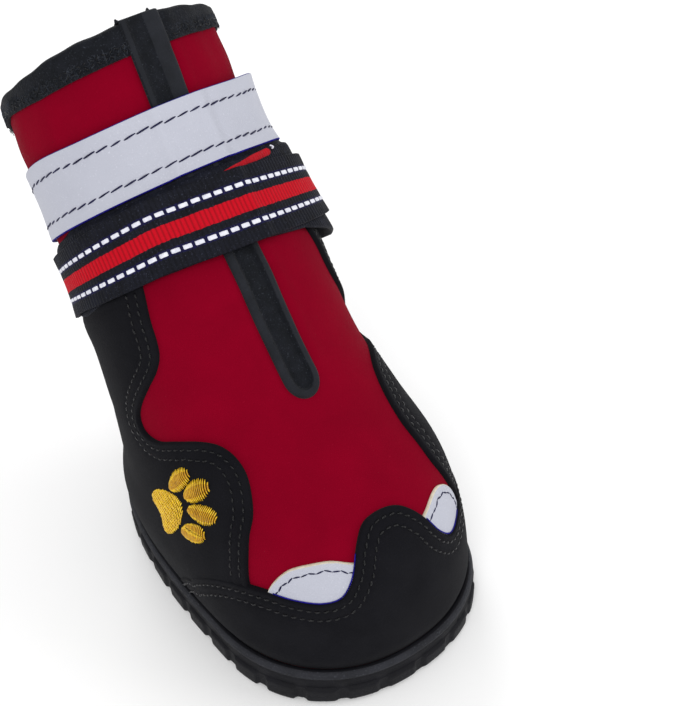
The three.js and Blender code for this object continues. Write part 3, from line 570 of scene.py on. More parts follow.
# What each finish is: low and high colour, size of its mottling, the fine grain's size and
# depth, flecks as colour, size and share, and the shader's own numbers.
FINISHES = {
    # Polyester softshell with a fine brushed knit: dull, even, hardly any gloss.
    "red_softshell_knit": dict(
        low="#77001a", high="#7e001c", mottle=12.0, grain=0.55, depth=0.03,
        fleck="#8e0c28", fleck_size=0.4, fleck_share=0.15,
        shader={"Roughness": 0.9, "Sheen Weight": 0.01, "Sheen Roughness": 0.5,
                "Specular IOR Level": 0.03}),
    # The same softshell dyed black: almost no gloss, a little lighter where it turns away.
    "black_softshell_knit": dict(
        low="#0f0f13", high="#141418", mottle=9.0, grain=0.5, depth=0.04,
        fleck="#222228", fleck_size=0.4, fleck_share=0.20,
        shader={"Roughness": 0.9, "Sheen Weight": 0.02, "Sheen Roughness": 0.5,
                "Specular IOR Level": 0.06}),
    # Brushed tricot lining: matt and soft.
    "black_tricot_lining": dict(
        low="#121317", high="#1c1d22", mottle=5.0, grain=0.8, depth=0.12,
        fleck="#2c2d34", fleck_size=0.8, fleck_share=0.3,
        shader={"Roughness": 0.95, "Sheen Weight": 0.1, "Sheen Roughness": 0.6,
                "Specular IOR Level": 0.1}),
    # Glass-bead reflective tape: pale lilac grey, an even satin with fine beads. The beads
    # are under 0.1 mm and drawn at 0.4 mm so that they show.
    "glass_bead_tape": dict(
        low="#b0b2be", high="#b5b7c3", mottle=18.0, grain=0.4, depth=0.03,
        fleck="#cccdd8", fleck_size=0.4, fleck_share=0.30,
        shader={"Roughness": 0.55, "Specular IOR Level": 0.35}),
    # Cut edge of the tape, where its cream backing shows.
    "cream_tape_edge": dict(
        low="#c4b9a2", high="#dcd5c2", mottle=2.0, grain=0.5, depth=0.05,
        shader={"Roughness": 0.8, "Specular IOR Level": 0.2}),
    # Dark blue backing cloth of the tape: a thin line at its edge.
    "navy_tape_backing": dict(
        low="#120c62", high="#1f1890", mottle=2.0, grain=0.4, depth=0.05,
        shader={"Roughness": 0.75, "Specular IOR Level": 0.1}),
    # Brushed polyester binding tape: dull black with a fuzz of lighter fibres.
    "black_binding_tape": dict(
        low="#101216", high="#181a20", mottle=3.0, grain=0.6, depth=0.12,
        fleck="#3d4149", fleck_size=0.4, fleck_share=0.32,
        shader={"Roughness": 0.92, "Sheen Weight": 0.05, "Sheen Roughness": 0.5,
                "Specular IOR Level": 0.12}),
    # The same tape painted a shade lighter: a painted highlight on the gusset's raised sides and on bands
    # of the collar tab.
    "binding_tape_painted_highlight": dict(
        low="#17191e", high="#1f2127", mottle=6.0, grain=0.6, depth=0.05,
        fleck="#2c2f36", fleck_size=0.4, fleck_share=0.2,
        shader={"Roughness": 0.85, "Sheen Weight": 0.05, "Sheen Roughness": 0.5,
                "Specular IOR Level": 0.18}),
    # Fibres brushed loose from the tape, painted grey: a painted sheen where they catch the light above
    # the black.
    "brushed_fibre_painted_sheen": dict(
        low="#1b1e23", high="#3c4048", mottle=3.0, grain=0.5, depth=0.02,
        shader={"Roughness": 0.8, "Specular IOR Level": 0.1}),
    # Nylon webbing woven in fine cross ribs: the filament glints between the ribs.
    "ribbed_nylon_webbing": dict(
        low="#0d0e15", high="#161823", mottle=4.0, grain=0.35, depth=0.06,
        fleck="#585c70", fleck_size=0.30, fleck_share=0.28,
        shader={"Roughness": 0.6, "Specular IOR Level": 0.10}),
    # Red yarns of the same webbing.
    "red_webbing_stripe": dict(
        low="#980014", high="#b80018", mottle=2.0, grain=0.35, depth=0.06,
        shader={"Roughness": 0.6, "Specular IOR Level": 0.15}),
    # Polyester sewing thread, black: smooth filament with a small sharp gloss.
    "black_polyester_thread": dict(
        low="#050507", high="#0e0e12", mottle=1.2, grain=0.3, depth=0.03,
        shader={"Roughness": 0.25, "Specular IOR Level": 0.24}),
    "navy_polyester_thread": dict(
        low="#0e0e2c", high="#1c1d48", mottle=1.2, grain=0.3, depth=0.03,
        shader={"Roughness": 0.5, "Specular IOR Level": 0.2}),
    "white_polyester_thread": dict(
        low="#d0d1de", high="#eeeef6", mottle=1.5, grain=0.3, depth=0.05,
        shader={"Roughness": 0.5, "Specular IOR Level": 0.3}),
    # Rayon embroidery thread, golden yellow: silky, bright along each strand.
    "golden_rayon_thread": dict(
        low="#cf9c00", high="#fbd428", mottle=0.9, grain=0.3, depth=0.03,
        shader={"Roughness": 0.34, "Specular IOR Level": 0.5}),
    # The same thread painted deeper on the crown of a toe pad: painted shade where its strands turn the
    # light away.
    "golden_rayon_thread_painted_shade": dict(
        low="#a87400", high="#d9a60c", mottle=0.9, grain=0.3, depth=0.03,
        shader={"Roughness": 0.4, "Specular IOR Level": 0.4}),
    # A dark ground under the satin stitches: painted shade in the gaps between the threads.
    "dark_ground_painted_shade": dict(
        low="#3a2500", high="#5c3d00", mottle=1.0, grain=0.3, depth=0.05,
        shader={"Roughness": 0.7, "Specular IOR Level": 0.1}),
    # Vulcanised rubber out of a blasted mould: satin black with a fine dull grain.
    "moulded_black_rubber": dict(
        low="#0e0e12", high="#131318", mottle=6.0, grain=0.5, depth=0.05,
        fleck="#26272d", fleck_size=0.5, fleck_share=0.22,
        shader={"Roughness": 0.6, "Specular IOR Level": 0.14}),
    # The same rubber on the lip, painted lighter in a stipple: a painted highlight along the lip's
    # rounded crest.
    "lip_rubber_painted_highlight": dict(
        low="#1a1b20", high="#27282e", mottle=7.0, grain=0.45, depth=0.08,
        fleck="#4c4e56", fleck_size=0.40, fleck_share=0.35,
        shader={"Roughness": 0.65, "Specular IOR Level": 0.2}),
    # EVA foam with a brushed cloth face.
    "cloth_faced_foam": dict(
        low="#1c1d22", high="#292a30", mottle=4.0, grain=0.7, depth=0.12,
        shader={"Roughness": 0.95, "Sheen Weight": 0.1, "Sheen Roughness": 0.6,
                "Specular IOR Level": 0.1}),
}


def material(name):
    """The named finish, made once."""
    if name in bpy.data.materials:
        return bpy.data.materials[name]
    facts = FINISHES.get(name, FINISHES["ribbed_nylon_webbing"])
    made = bpy.data.materials.new(name)
    made.use_nodes = True
    tree = made.node_tree
    shader = next(node for node in tree.nodes if node.type == "BSDF_PRINCIPLED")
    for socket, value in facts["shader"].items():
        shader.inputs[socket].default_value = value
    place = add(tree, "ShaderNodeTexCoord").outputs["Object"]
    mottle = add(tree, "ShaderNodeTexNoise", {
        "Vector": place, "Scale": grain(facts["mottle"]), "Detail": 4.0, "Roughness": 0.6})
    colours = bpy.context.scene.bootie_colours
    shade = colours.cloth_shade if name == "red_softshell_knit" else 1.0
    low, high = (tuple(part * shade for part in linear(facts[key])[:3]) + (1.0,)
                 for key in ("low", "high"))
    colour = add(tree, "ShaderNodeValToRGB", {"Fac": mottle.outputs["Fac"]},
                 stops=[(0.32, low), (0.68, high)]).outputs["Color"]
    if "fleck" in facts:
        fleck = add(tree, "ShaderNodeTexNoise", {
            "Vector": place, "Scale": grain(facts["fleck_size"]), "Detail": 2.0})
        edge = 0.72 - 0.3 * facts["fleck_share"]
        amount = add(tree, "ShaderNodeValToRGB", {"Fac": fleck.outputs["Fac"]},
                     stops=[(edge, (0, 0, 0, 1)), (edge + 0.1, (0.6, 0.6, 0.6, 1))])
        colour = add(tree, "ShaderNodeMixRGB", {
            "Fac": amount.outputs["Color"], "Color1": colour,
            "Color2": linear(facts["fleck"])}).outputs["Color"]
    if name == "striped_webbing_weave":
        colour = webbing_stripes(tree, colour)
    tree.links.new(colour, shader.inputs["Base Color"])
    fine = add(tree, "ShaderNodeTexNoise", {
        "Vector": place, "Scale": grain(facts["grain"]), "Detail": 3.0, "Roughness": 0.65})
    relief = add(tree, "ShaderNodeBump", {
        "Height": fine.outputs["Fac"], "Strength": 0.8, "Distance": facts["depth"] * MM * 4})
    tree.links.new(relief.outputs["Normal"], shader.inputs["Normal"])
    return made


# Colours across the webbing: distance from its middle in millimetres, colour, and how much
# of its flecked black ground shows there.
WEBBING_STRIPES = [
    (0.0, "#c2001a", 0.04), (1.9, "#101117", 0.85), (3.7, "#14133f", 0.10),
    (5.55, "#101117", 0.85),
]


def webbing_stripes(tree, black):
    """The webbing's bands of colour over its black ground, read from the map named across, with painted
    shade in the grooves between the cross ribs.

    The map holds the way along in hundreds of millimetres and the way across in tens."""
    place = add(tree, "ShaderNodeUVMap", uv_map="across").outputs["UV"]
    ways = add(tree, "ShaderNodeSeparateXYZ", {"Vector": place})
    solid = add(tree, "ShaderNodeTexCoord").outputs["Object"]
    fray = add(tree, "ShaderNodeTexNoise", {"Vector": solid, "Scale": grain(0.7)})
    ragged = add(tree, "ShaderNodeMath", {0: fray.outputs["Fac"], 1: 0.06, 2: -0.03},
                 operation="MULTIPLY_ADD").outputs["Value"]
    side = add(tree, "ShaderNodeMath", {0: ways.outputs["Y"]}, operation="ABSOLUTE")
    side = add(tree, "ShaderNodeMath", {0: side.outputs["Value"], 1: ragged}, operation="ADD")
    stops = [(distance / 10.0, (*linear(code)[:3], ground))
             for distance, code, ground in WEBBING_STRIPES]
    stripe = add(tree, "ShaderNodeValToRGB", {"Fac": side.outputs["Value"]}, stops=stops)
    stripe.color_ramp.interpolation = "CONSTANT"
    dull = add(tree, "ShaderNodeMixRGB", {
        "Fac": stripe.outputs["Alpha"], "Color1": stripe.outputs["Color"], "Color2": black})
    # Painted shade: the colour is mixed towards near black in the grooves between the cross ribs, up to
    # 0.38.
    turns = math.pi * 100.0 / millimetres("rib_pitch")
    wave = add(tree, "ShaderNodeMath", {0: ways.outputs["X"], 1: turns}, operation="MULTIPLY")
    wave = add(tree, "ShaderNodeMath", {0: wave.outputs["Value"]}, operation="SINE")
    wave = add(tree, "ShaderNodeMath", {0: wave.outputs["Value"]}, operation="ABSOLUTE")
    groove = add(tree, "ShaderNodeMath", {0: wave.outputs["Value"], 1: 5.0}, operation="POWER")
    shade = add(tree, "ShaderNodeMath", {0: groove.outputs["Value"], 1: 0.38},
                operation="MULTIPLY")
    return add(tree, "ShaderNodeMixRGB", {
        "Fac": shade.outputs["Value"], "Color1": dull.outputs["Color"],
        "Color2": linear("#050507")}).outputs["Color"]


# Sizes and colours that a user would change.


def length_property(name, description, millimetres):
    return FloatProperty(name=name, description=description, default=millimetres * MM,
                         min=0.0, unit="LENGTH", subtype="DISTANCE")


class BootieSizes(bpy.types.PropertyGroup):
    wall: length_property("Upper wall", "Thickness of the bonded softshell", 2.2)
    panel: length_property("Panel thickness", "Thickness of the toe cap and side panel", 0.9)
    patch: length_property("Patch thickness", "Thickness of the reflective patches", 0.5)
    band: length_property("Band thickness", "Thickness of the reflective band", 1.0)
    webbing: length_property("Webbing thickness", "Thickness of the webbing strap", 1.2)
    rib_pitch: length_property("Rib pitch", "Distance between the webbing's cross ribs", 1.1)
    dash_pitch: length_property("Dash pitch", "Distance between the woven white dashes", 2.75)
    dash_length: length_property("Dash length", "Length of a woven white dash", 2.15)
    seam_length: length_property("Stitch length", "Length of a panel stitch", 1.6)
    seam_gap: length_property("Stitch gap", "Gap between two panel stitches", 0.5)
    seam_width: length_property("Thread width", "Width of the panels' sewing thread", 0.62)
    seam_inset: length_property("Seam inset", "First seam's distance from the edge", 2.0)
    seam_spacing: length_property("Seam spacing", "Distance between the two seams", 2.5)
    satin_pitch: length_property("Satin pitch", "Distance between embroidery threads", 0.52)
    fold_strength: FloatProperty(
        name="Fold strength", description="Depth of the cloth's soft folds",
        default=1.0, min=0.0, max=2.0, subtype="FACTOR")


class BootieColours(bpy.types.PropertyGroup):
    cloth_shade: FloatProperty(
        name="Cloth shade", description="Brightness of the red softshell's dye",
        default=1.0, min=0.0, max=2.0, subtype="FACTOR")
    floor: FloatVectorProperty(
        name="Floor", description="Colour of the studio floor",
        default=(0.985, 0.985, 0.985), min=0.0, max=1.0, size=3, subtype="COLOR")


def millimetres(name):
    return getattr(bpy.context.scene.bootie_sizes, name) / MM


# Shapes shared by the pieces.


def strap_lift(angle, slack):
    side = np.abs(wrapped(angle))
    over = 1.0 - step_smooth((side - 10.0) / 8.0)
    away = np.abs(wrapped(angle) - SLACK_ANGLE) / SLACK_SPREAD
    return OVER_GUSSET * over + slack * (1.0 - step_smooth(away))


def table_value(table, column, angle):
    rows = np.array(table, float)
    return np.interp(wrapped(angle), rows[:, 0], rows[:, column])


def soft_table_value(table, column, angle):
    """A value of a closed or open edge table, softened over 12 degrees."""
    shifts = np.linspace(-6.0, 6.0, 7)
    return np.mean([table_value(table, column, angle + shift) for shift in shifts], axis=0)


def tape_loop(width, thickness, roll, count):
    """A tape's cross section as distances across and heights, outer face first."""
    half = width / 2
    spin = np.linspace(0.0, math.pi / 2, 4)
    edge = half - roll + roll * np.sin(spin)
    edge_height = thickness * (0.5 + 0.5 * np.cos(spin))
    flat = np.linspace(-(half - roll), half - roll, count)
    across = np.concatenate([-edge[::-1], flat[1:-1], edge])
    height = np.concatenate([edge_height[::-1], np.full(count - 2, thickness), edge_height])
    under = np.linspace(half - roll * 0.4, -(half - roll * 0.4), 6)
    return np.concatenate([across, under]), np.concatenate([height, np.zeros(6)])


def end_caps(rows, columns):
    """Faces that close the first and last column of an open tape."""
    first = [row * columns for row in range(rows)]
    last = [row * columns + columns - 1 for row in range(rows)]
    return [first, last[::-1]]


class BootieOperator:
    """Builds pieces of the bootie in the scene."""

    bl_options = {"REGISTER", "UNDO"}


class BOOTIE_OT_upper(BootieOperator, bpy.types.Operator):
    """Red softshell shell, open at the collar, with its lining."""

    bl_idname = "bootie.upper"
    bl_label = "Upper"

    def execute(self, context):
        columns = 220
        angles = np.arange(columns) * 360.0 / columns - 180.0
        outer = np.linspace(0.0, RIM_STATION, 130)
        inner = np.linspace(RIM_STATION, 0.0, 60)
        rings = [skin(station, angles, 0.0) for station in outer]
        rings += [skin(station, angles, -millimetres("wall")) for station in inner]
        faces = grid_faces(len(rings), columns, True, True)
        inside = faces[:, 0] // columns >= len(outer) - 1
        make_piece("softshell_upper", np.array(rings), faces,
                   ["red_softshell_knit", "black_tricot_lining"],
                   face_finish=inside.astype(int), slot="red_softshell", replaces=["upper"])
        return {"FINISHED"}


def seam_dips(to_seam):
    first = millimetres("seam_inset")
    second = first + millimetres("seam_spacing")
    return 0.22 * bump_at(to_seam, first, 0.55) + 0.22 * bump_at(to_seam, second, 0.55)


SHEET_ROWS = [0.05, 0.15, 0.30, 0.50, 0.9, 1.5, 2.0, 2.5, 3.2, 4.0, 4.5, 5.0, 6.0]


def toe_cap_seam():
    return smooth_path(TOE_CAP_EDGE)[::-1]


def panel_seams():
    left = smooth_path([(station, angle + 360.0) for station, angle in LEFT_PANEL_EDGE])
    right = smooth_path(RIGHT_PANEL_EDGE)[::-1]
    return left, right


def bottom_line(low, high):
    angles = np.linspace(low, high, 200)
    return np.stack([np.full(200, LIP_STATION + 0.001), angles], axis=-1)


class BOOTIE_OT_overlays(BootieOperator, bpy.types.Operator):
    """Black toe cap and the black panel around the heel."""

    bl_idname = "bootie.overlays"
    bl_label = "Toe cap and side panel"

    def execute(self, context):
        thickness = GAP + millimetres("panel")
        seam = toe_cap_seam()
        outline = np.concatenate([bottom_line(seam[-1, 1], seam[0, 1])[:-1], seam])
        cut_sheet(
            "softshell_toe_cap", outline, seam,
            lambda edge, sewn: (thickness + 0.25) * rolled(edge, 0.5) - seam_dips(sewn),
            0.02, 1.5, SHEET_ROWS, ["black_softshell_knit"],
            slot="black_softshell", replaces=["toe_cap"])
        left, right = panel_seams()
        top = np.stack([np.linspace(left[-1, 0], right[0, 0], 160),
                        np.linspace(left[-1, 1], right[0, 1], 160)], axis=-1)
        outline = np.concatenate([
            bottom_line(right[-1, 1], left[0, 1])[:-1], left[:-1], top[:-1], right])
        cut_sheet(
            "softshell_side_panel", outline, np.concatenate([left, top[1:-1], right]),
            lambda edge, sewn: thickness * rolled(edge, 0.5) - seam_dips(sewn),
            0.02, 1.7, SHEET_ROWS, ["black_softshell_knit"],
            slot="black_softshell", replaces=["side_panel"])
        return {"FINISHED"}


class BOOTIE_OT_patches(BootieOperator, bpy.types.Operator):
    """The two reflective patches beside the toe cap's peak."""

    bl_idname = "bootie.patches"
    bl_label = "Reflective patches"

    def execute(self, context):
        thickness = 0.3 + millimetres("patch")
        for side, edge, under in (
            ("left", LEFT_PATCH_EDGE, [(0.170, -12), (0.140, -18), (0.130, -33), (0.135, -54)]),
            ("right", RIGHT_PATCH_EDGE, [(0.140, 40), (0.135, 28), (0.140, 16), (0.170, 6)]),
        ):
            seam = smooth_path(edge)
            if side == "left":
                under = under[::-1]
                seam = seam[::-1]
                hidden = smooth_path([(0.150, -54), *under, (0.195, -12)])
            else:
                seam = seam[::-1]
                hidden = smooth_path([(0.200, 6), *under[::-1], (0.150, 40)])
            outline = np.concatenate([hidden[:-1], seam])
            cut_sheet(
                f"reflective_patch_{side}", outline, seam,
                lambda edge, sewn: thickness * rolled(edge, 0.25),
                0.02, 0.9, [0.06, 0.14, 0.3, 0.7, 1.3], ["glass_bead_tape", "cream_tape_edge"],
                rim_finish=0.31, slot="reflective_tape", replaces=[f"toe_patch_{side}"])
        return {"FINISHED"}


GUSSET_HALF = 4.3


def gusset_centre(station):
    return -0.3 - 2.0 * step_smooth((station - 0.66) / 0.3)


def gusset_side(stations, side):
    """One long side of the gusset, narrowing to its round tip."""
    tip = 0.434
    run = np.clip((stations - tip) / 0.032, 0.0, 1.0)
    half = GUSSET_HALF * np.sqrt(1.0 - (1.0 - run) ** 2)
    width = np.abs(last_face(stations, 90.0)[:, 0])
    return gusset_centre(stations) + side * np.degrees(half / width)


class BOOTIE_OT_gusset(BootieOperator, bpy.types.Operator):
    """Folded strip down the front, with raised sides and a round lower end."""

    bl_idname = "bootie.gusset"
    bl_label = "Front gusset"

    def execute(self, context):
        near = 0.434 + 0.032 * (1 - np.cos(np.linspace(0.0, math.pi / 2, 24)))
        stations = np.concatenate([near, np.linspace(0.47, 0.872, 110)])
        right = np.stack([stations, gusset_side(stations, 1)], axis=-1)
        left = np.stack([stations, gusset_side(stations, -1)], axis=-1)[::-1]
        outline = np.concatenate([right, left])

        def profile(edge, sewn):
            ridge = 1.05 * rolled(edge, 0.9)
            return ridge - 0.85 * step_smooth((edge - 1.9) / 0.6)

        # Faces within 2.15 mm of the edge, the raised sides, get the lighter tape as a painted highlight;
        # the sunken middle keeps the darker tape.
        cut_sheet(
            "folded_gusset", outline, outline, profile, 0.02, 0.8,
            [0.1, 0.3, 0.6, 1.0, 1.5, 1.9, 2.2, 2.5, 2.9],
            ["black_binding_tape", "binding_tape_painted_highlight"], rim_finish=2.15,
            slot="black_tape", replaces=["front_gusset"])
        scale = COLLAR_SCALE
        rows = [(0.868, 0.55), (0.890, 0.65), (0.925, 0.75), (0.947, 0.90), (0.956, 1.15),
                (0.975, 1.22), (0.99, 1.20), (1.0, 1.10), (1 + 0.35 / scale, 0.75),
                (1 + 0.55 / scale, 0.0), (1 + 0.55 / scale, -2.2), (1 + 0.35 / scale, -3.2),
                (1.0, -3.6), (0.985, -3.65), (0.962, -3.6)]
        rows = smooth_path([(station, offset * 10) for station, offset in rows], 3)
        stations, offsets = rows[:, 0], rows[:, 1] / 10
        across = np.linspace(-1.0, 1.0, 25)
        half = np.degrees(4.6 / 27.5)
        angle = gusset_centre(stations)[:, None] + across * half
        rim = rolled((1 - np.abs(across)) * 4.6, 0.6)
        groove = 0.30 * step_smooth((across + 0.62) / 0.15) * (1 - step_smooth((across - 0.08) / 0.15))
        outside = step_smooth((offsets + 2.0) / 1.6)[:, None]
        inward = np.sign(offsets + 1.2)[:, None]
        top = skin(stations[:, None], angle, offsets[:, None] + inward * 0.42 * rim - groove * outside)
        low = skin(stations[:, None], angle, offsets[:, None] - inward * 0.02)
        count = len(stations)
        width = len(across)
        loop = np.concatenate([top, low[:, ::-1]], axis=1).transpose(1, 0, 2)
        faces = grid_faces(2 * width, count, around_rows=True)[:, ::-1].tolist()
        faces += [list(face)[::-1] for face in end_caps(2 * width, count)]
        parts = [(loop, faces)]
        for at, lean in ((-12.0, -0.5), (3.2, 0.4)):
            heights = np.linspace(0.0, 1.0, 6)
            centres = skin(1 + (0.1 + 1.0 * heights) / scale, at + lean * heights, 0.4)
            radii = 0.75 * (1.0 - 0.75 * heights)
            normals = np.broadcast_to(skin_normal(1.0, at), centres.shape)
            parts.append(thread_bundle(centres[None], normals[None], radii[None], 7, 1.0))
        points, faces = join_parts(parts)
        column = np.zeros(len(faces), int)
        column[:2 * width * (count - 1)] = np.arange(2 * width * (count - 1)) // (count - 1)
        # Painted highlight: some lengthwise bands of the tab get the lighter tape.
        painted_highlight_bands = (column > 13) & (column < width - 1) | (column > 0) & (column < 4)
        make_piece("collar_tab", points, faces, ["black_binding_tape", "binding_tape_painted_highlight"],
                   face_finish=painted_highlight_bands.astype(int), slot="black_tape")
        return {"FINISHED"}


class BOOTIE_OT_binding(BootieOperator, bpy.types.Operator):
    """Brushed tape folded over the collar's rim."""

    bl_idname = "bootie.binding"
    bl_label = "Collar binding"

    def execute(self, context):
        columns = 300
        angles = np.arange(columns) * 360.0 / columns - 180.0
        outside = 1.0
        inside = -millimetres("wall") - 1.0
        deep = BINDING_DEPTH
        steps = [(deep, 0.05), (deep + 0.08, 0.35), (deep, 0.7), (deep - 0.35, 0.95)]
        steps += [(deep - 0.9 - share * (deep - 1.9), outside + 0.12 * math.sin(math.pi * share))
                  for share in np.linspace(0, 1, 9)]
        middle = (outside + inside) / 2
        radius = (outside - inside) / 2
        steps += [(1.0 - 1.0 * math.sin(turn), middle + radius * math.cos(turn))
                  for turn in np.linspace(0.15, math.pi - 0.15, 13)]
        steps += [(1.0 + share * (deep - 1.9), inside) for share in np.linspace(0, 1, 7)]
        steps += [(deep - 0.3, inside + 0.1), (deep, -millimetres("wall") - 0.5)]
        steps += [(deep - 0.2, -millimetres("wall") - 0.05), (1.2, -millimetres("wall") - 0.02)]
        steps += [(1.2, 0.02)]
        wave = 0.12 * np.sin(np.radians(angles) * 7 + 0.6) + 0.09 * np.sin(np.radians(angles) * 19)
        share = table_value(BINDING_SHARES, 1, angles)
        rings = []
        for depth, offset in steps:
            top = 1.0 - step_smooth(depth / deep)
            reach = depth if depth <= 1.0 else 1.0 + (depth - 1.0) * share
            station = 1 - (reach - wave * top * 1.2) / COLLAR_SCALE
            rings.append(skin(station, angles, offset + wave * 0.5 * np.sign(offset + 1.2)))
        faces = grid_faces(len(rings), columns, True, True)
        make_piece("folded_collar_binding", np.array(rings), faces, ["black_binding_tape"],
                   slot="black_tape", replaces=["collar_binding"])
        return {"FINISHED"}


# The band's two sewn lines, as distances below its upper edge in millimetres.
BAND_LINES = (3.9, 13.7)


def band_station(place, angle):
    """Station of a line of the band, so many millimetres above its middle."""
    raised = 0.010 * bump_at(wrapped(angle), -88.0, 32.0) + 0.010 * bump_at(wrapped(angle), 72.0, 28.0)
    share = 0.5 + place / BAND_WIDTH
    return BAND_STATION + place / BAND_SCALE + raised * share


def band_lines():
    angles = np.linspace(-180.0, 180.0, 700)
    for place in BAND_LINES:
        yield np.stack([band_station(BAND_WIDTH / 2 - place, angles), angles], axis=-1)


class BOOTIE_OT_band(BootieOperator, bpy.types.Operator):
    """Reflective band around the shaft, with its sewn lines and its slack on one side."""

    bl_idname = "bootie.band"
    bl_label = "Reflective band"

    def execute(self, context):
        columns = 360
        angles = np.arange(columns) * 360.0 / columns - 180.0
        across, height = tape_loop(BAND_WIDTH, millimetres("band"), 0.35, 30)
        rings = []
        for place, high in zip(across, height):
            dips = sum(bump_at(place, BAND_WIDTH / 2 - line, 0.6) for line in BAND_LINES)
            pucker = 0.5 + 0.5 * np.sin(np.radians(angles) * 64)
            top = high - (0.14 * dips * (0.5 + pucker) if high > 0.9 * height.max() else 0.0)
            flare = 0.35 * np.abs(place / (BAND_WIDTH / 2)) ** 3
            ripple = 0.06 * np.sin(np.radians(angles) * 11 + place * 0.3)
            lift = strap_lift(angles, BAND_SLACK)
            low = GAP + lift + flare * step_smooth((lift - 0.5) / 2)
            rings.append(skin(band_station(place, angles), angles, low + top + ripple))
        faces = grid_faces(len(rings), columns, True, True)
        ring = faces[:, 0] // columns
        edge = (np.abs(across[ring]) > BAND_WIDTH / 2 - 0.34) & (height[ring] < 1.0)
        make_piece("reflective_band_tape", np.array(rings), faces,
                   ["glass_bead_tape", "navy_tape_backing"], face_finish=edge.astype(int),
                   slot="reflective_tape", replaces=["reflective_band"])
        parts = []
        for line in band_lines():
            parts.append(lifted_stitches(line, millimetres("band") + GAP - 0.06, 3.3, 0.22, 0.46,
                                         0.24))
        points, faces = join_parts(parts)
        make_piece("band_stitches", points, faces, ["navy_polyester_thread"])
        return {"FINISHED"}


def lifted_stitches(path, offset, length, gap, width, swing):
    """Stitches over a strap: the path's offset follows the strap's slack."""
    base = offset + strap_lift(path[:, 1], BAND_SLACK)
    points = skin(path[:, 0], path[:, 1], base)
    lengths = np.concatenate([[0.0], np.cumsum(np.linalg.norm(np.diff(points, axis=0), axis=1))])
    pitch = length + gap
    count = int(lengths[-1] / pitch)
    share = np.linspace(0.0, 1.0, 7)
    places = (np.arange(count) * pitch + gap / 2)[:, None] + share * length
    angle = np.interp(places, lengths, path[:, 1])
    lean = swing * (share - 0.5) * 2 + 0.12 * np.sin(np.arange(count) * 1.7)[:, None]
    station = np.interp(places, lengths, path[:, 0]) + lean / STRAP_SCALE
    high = offset + strap_lift(angle, BAND_SLACK) - width * 0.3 + 0.35 * width * np.sin(math.pi * share)
    radii = width / 2 * (0.75 + 0.25 * np.sin(math.pi * share) ** 0.5)
    radii = np.broadcast_to(radii, angle.shape)
    return thread_bundle(skin(station, angle, high), skin_normal(station, angle), radii)


def ribs(distance, pitch):
    """Height share of rounded cross ribs along a strap."""
    return np.abs(np.cos(math.pi * distance / pitch)) ** 0.7


def strap_lengths(angles):
    """Millimetres along the shaft from the first of the angles."""
    points = last_face(0.7, angles)
    steps = np.linalg.norm(np.diff(points, axis=0), axis=1)
    return np.concatenate([[0.0], np.cumsum(steps)])


class BOOTIE_OT_strap_base(BootieOperator, bpy.types.Operator):
    """Black ribbed tape under the webbing, with the red sliver of its own stripe."""

    bl_idname = "bootie.strap_base"
    bl_label = "Strap base"

    def execute(self, context):
        angles = np.linspace(STRAP_BASE_EDGES[0][0], STRAP_BASE_EDGES[-1][0], 900)
        distance = strap_lengths(angles)
        across, height = tape_loop(2.0, 0.9, 0.06, 26)
        lift = strap_lift(angles, STRAP_SLACK)
        low_edge = table_value(STRAP_BASE_EDGES, 1, angles)
        high_edge = table_value(STRAP_BASE_EDGES, 2, angles)
        rings = []
        for place, high in zip(across, height):
            station = low_edge + (high_edge - low_edge) * (place + 1) / 2
            rib = 0.17 * ribs(distance, 0.95) if high > 0.8 else 0.0
            corner = 1.1 * bump_at(angles, 104.0, 16.0) * step_smooth((0.2 - place) / 1.2)
            under = 1 - step_smooth((station - 0.767) / 0.008) * (angles < 84.0)
            rings.append(skin(station, angles,
                              GAP * under + lift + corner + (high + rib) * under))
        faces = grid_faces(len(rings), len(angles), True).tolist()
        faces += end_caps(len(rings), len(angles))
        make_piece("ribbed_strap_base", np.array(rings), faces, ["ribbed_nylon_webbing"],
                   slot="black_tape", replaces=["strap_base"])
        spots = np.linspace(0.0, 1.0, 90)
        angle = 5.0 + 37.0 * spots
        half = 0.0105 * np.clip(spots * 1.6, 0.0, 1.0) ** 0.8 + 0.0006
        half = half * (1 - np.clip((spots - 0.94) / 0.06, 0.0, 1.0) ** 2 * 0.5)
        middle = 0.7600 + 0.0045 * spots
        lane = np.linspace(-1.0, 1.0, 9)
        station = middle[:, None] + lane * half[:, None] * 0.55
        rib = 0.15 * ribs(np.interp(angle, angles, distance), 0.95)[:, None]
        lift = GAP + strap_lift(angle, STRAP_SLACK)[:, None] + 0.9
        top = skin(station, angle[:, None], lift + 0.10 * (1 - lane**2) + rib)
        low = skin(station, angle[:, None], lift - 0.2)
        loop = np.concatenate([top, low[:, ::-1]], axis=1).transpose(1, 0, 2)
        faces = grid_faces(18, 90, around_rows=True).tolist() + end_caps(18, 90)
        make_piece("strap_base_stripe", loop, faces, ["red_webbing_stripe"])
        turn = np.linspace(0.0, 1.0, 8)
        tail = skin(0.766 + 0.006 * turn**2, 43.2 + 1.6 * turn - 1.8 * turn**2,
                    GAP + strap_lift(45.0, STRAP_SLACK) + 1.15 + 0.5 * np.sin(math.pi * turn))
        normals = np.broadcast_to(skin_normal(0.764, 45.0), tail.shape)
        points, faces = thread_bundle(tail[None], normals[None], np.full((1, 8), 0.22), 7, 1.0)
        make_piece("thread_tail", points, faces, ["white_polyester_thread"])
        return {"FINISHED"}


DASH_ROW = 4.65


def webbing_low(angle):
    on_base = 1.0 - step_smooth((angle - 108.0 - 5.0) / 25.0)
    return GAP + strap_lift(angle, STRAP_SLACK) + on_base * (0.9 + GAP)


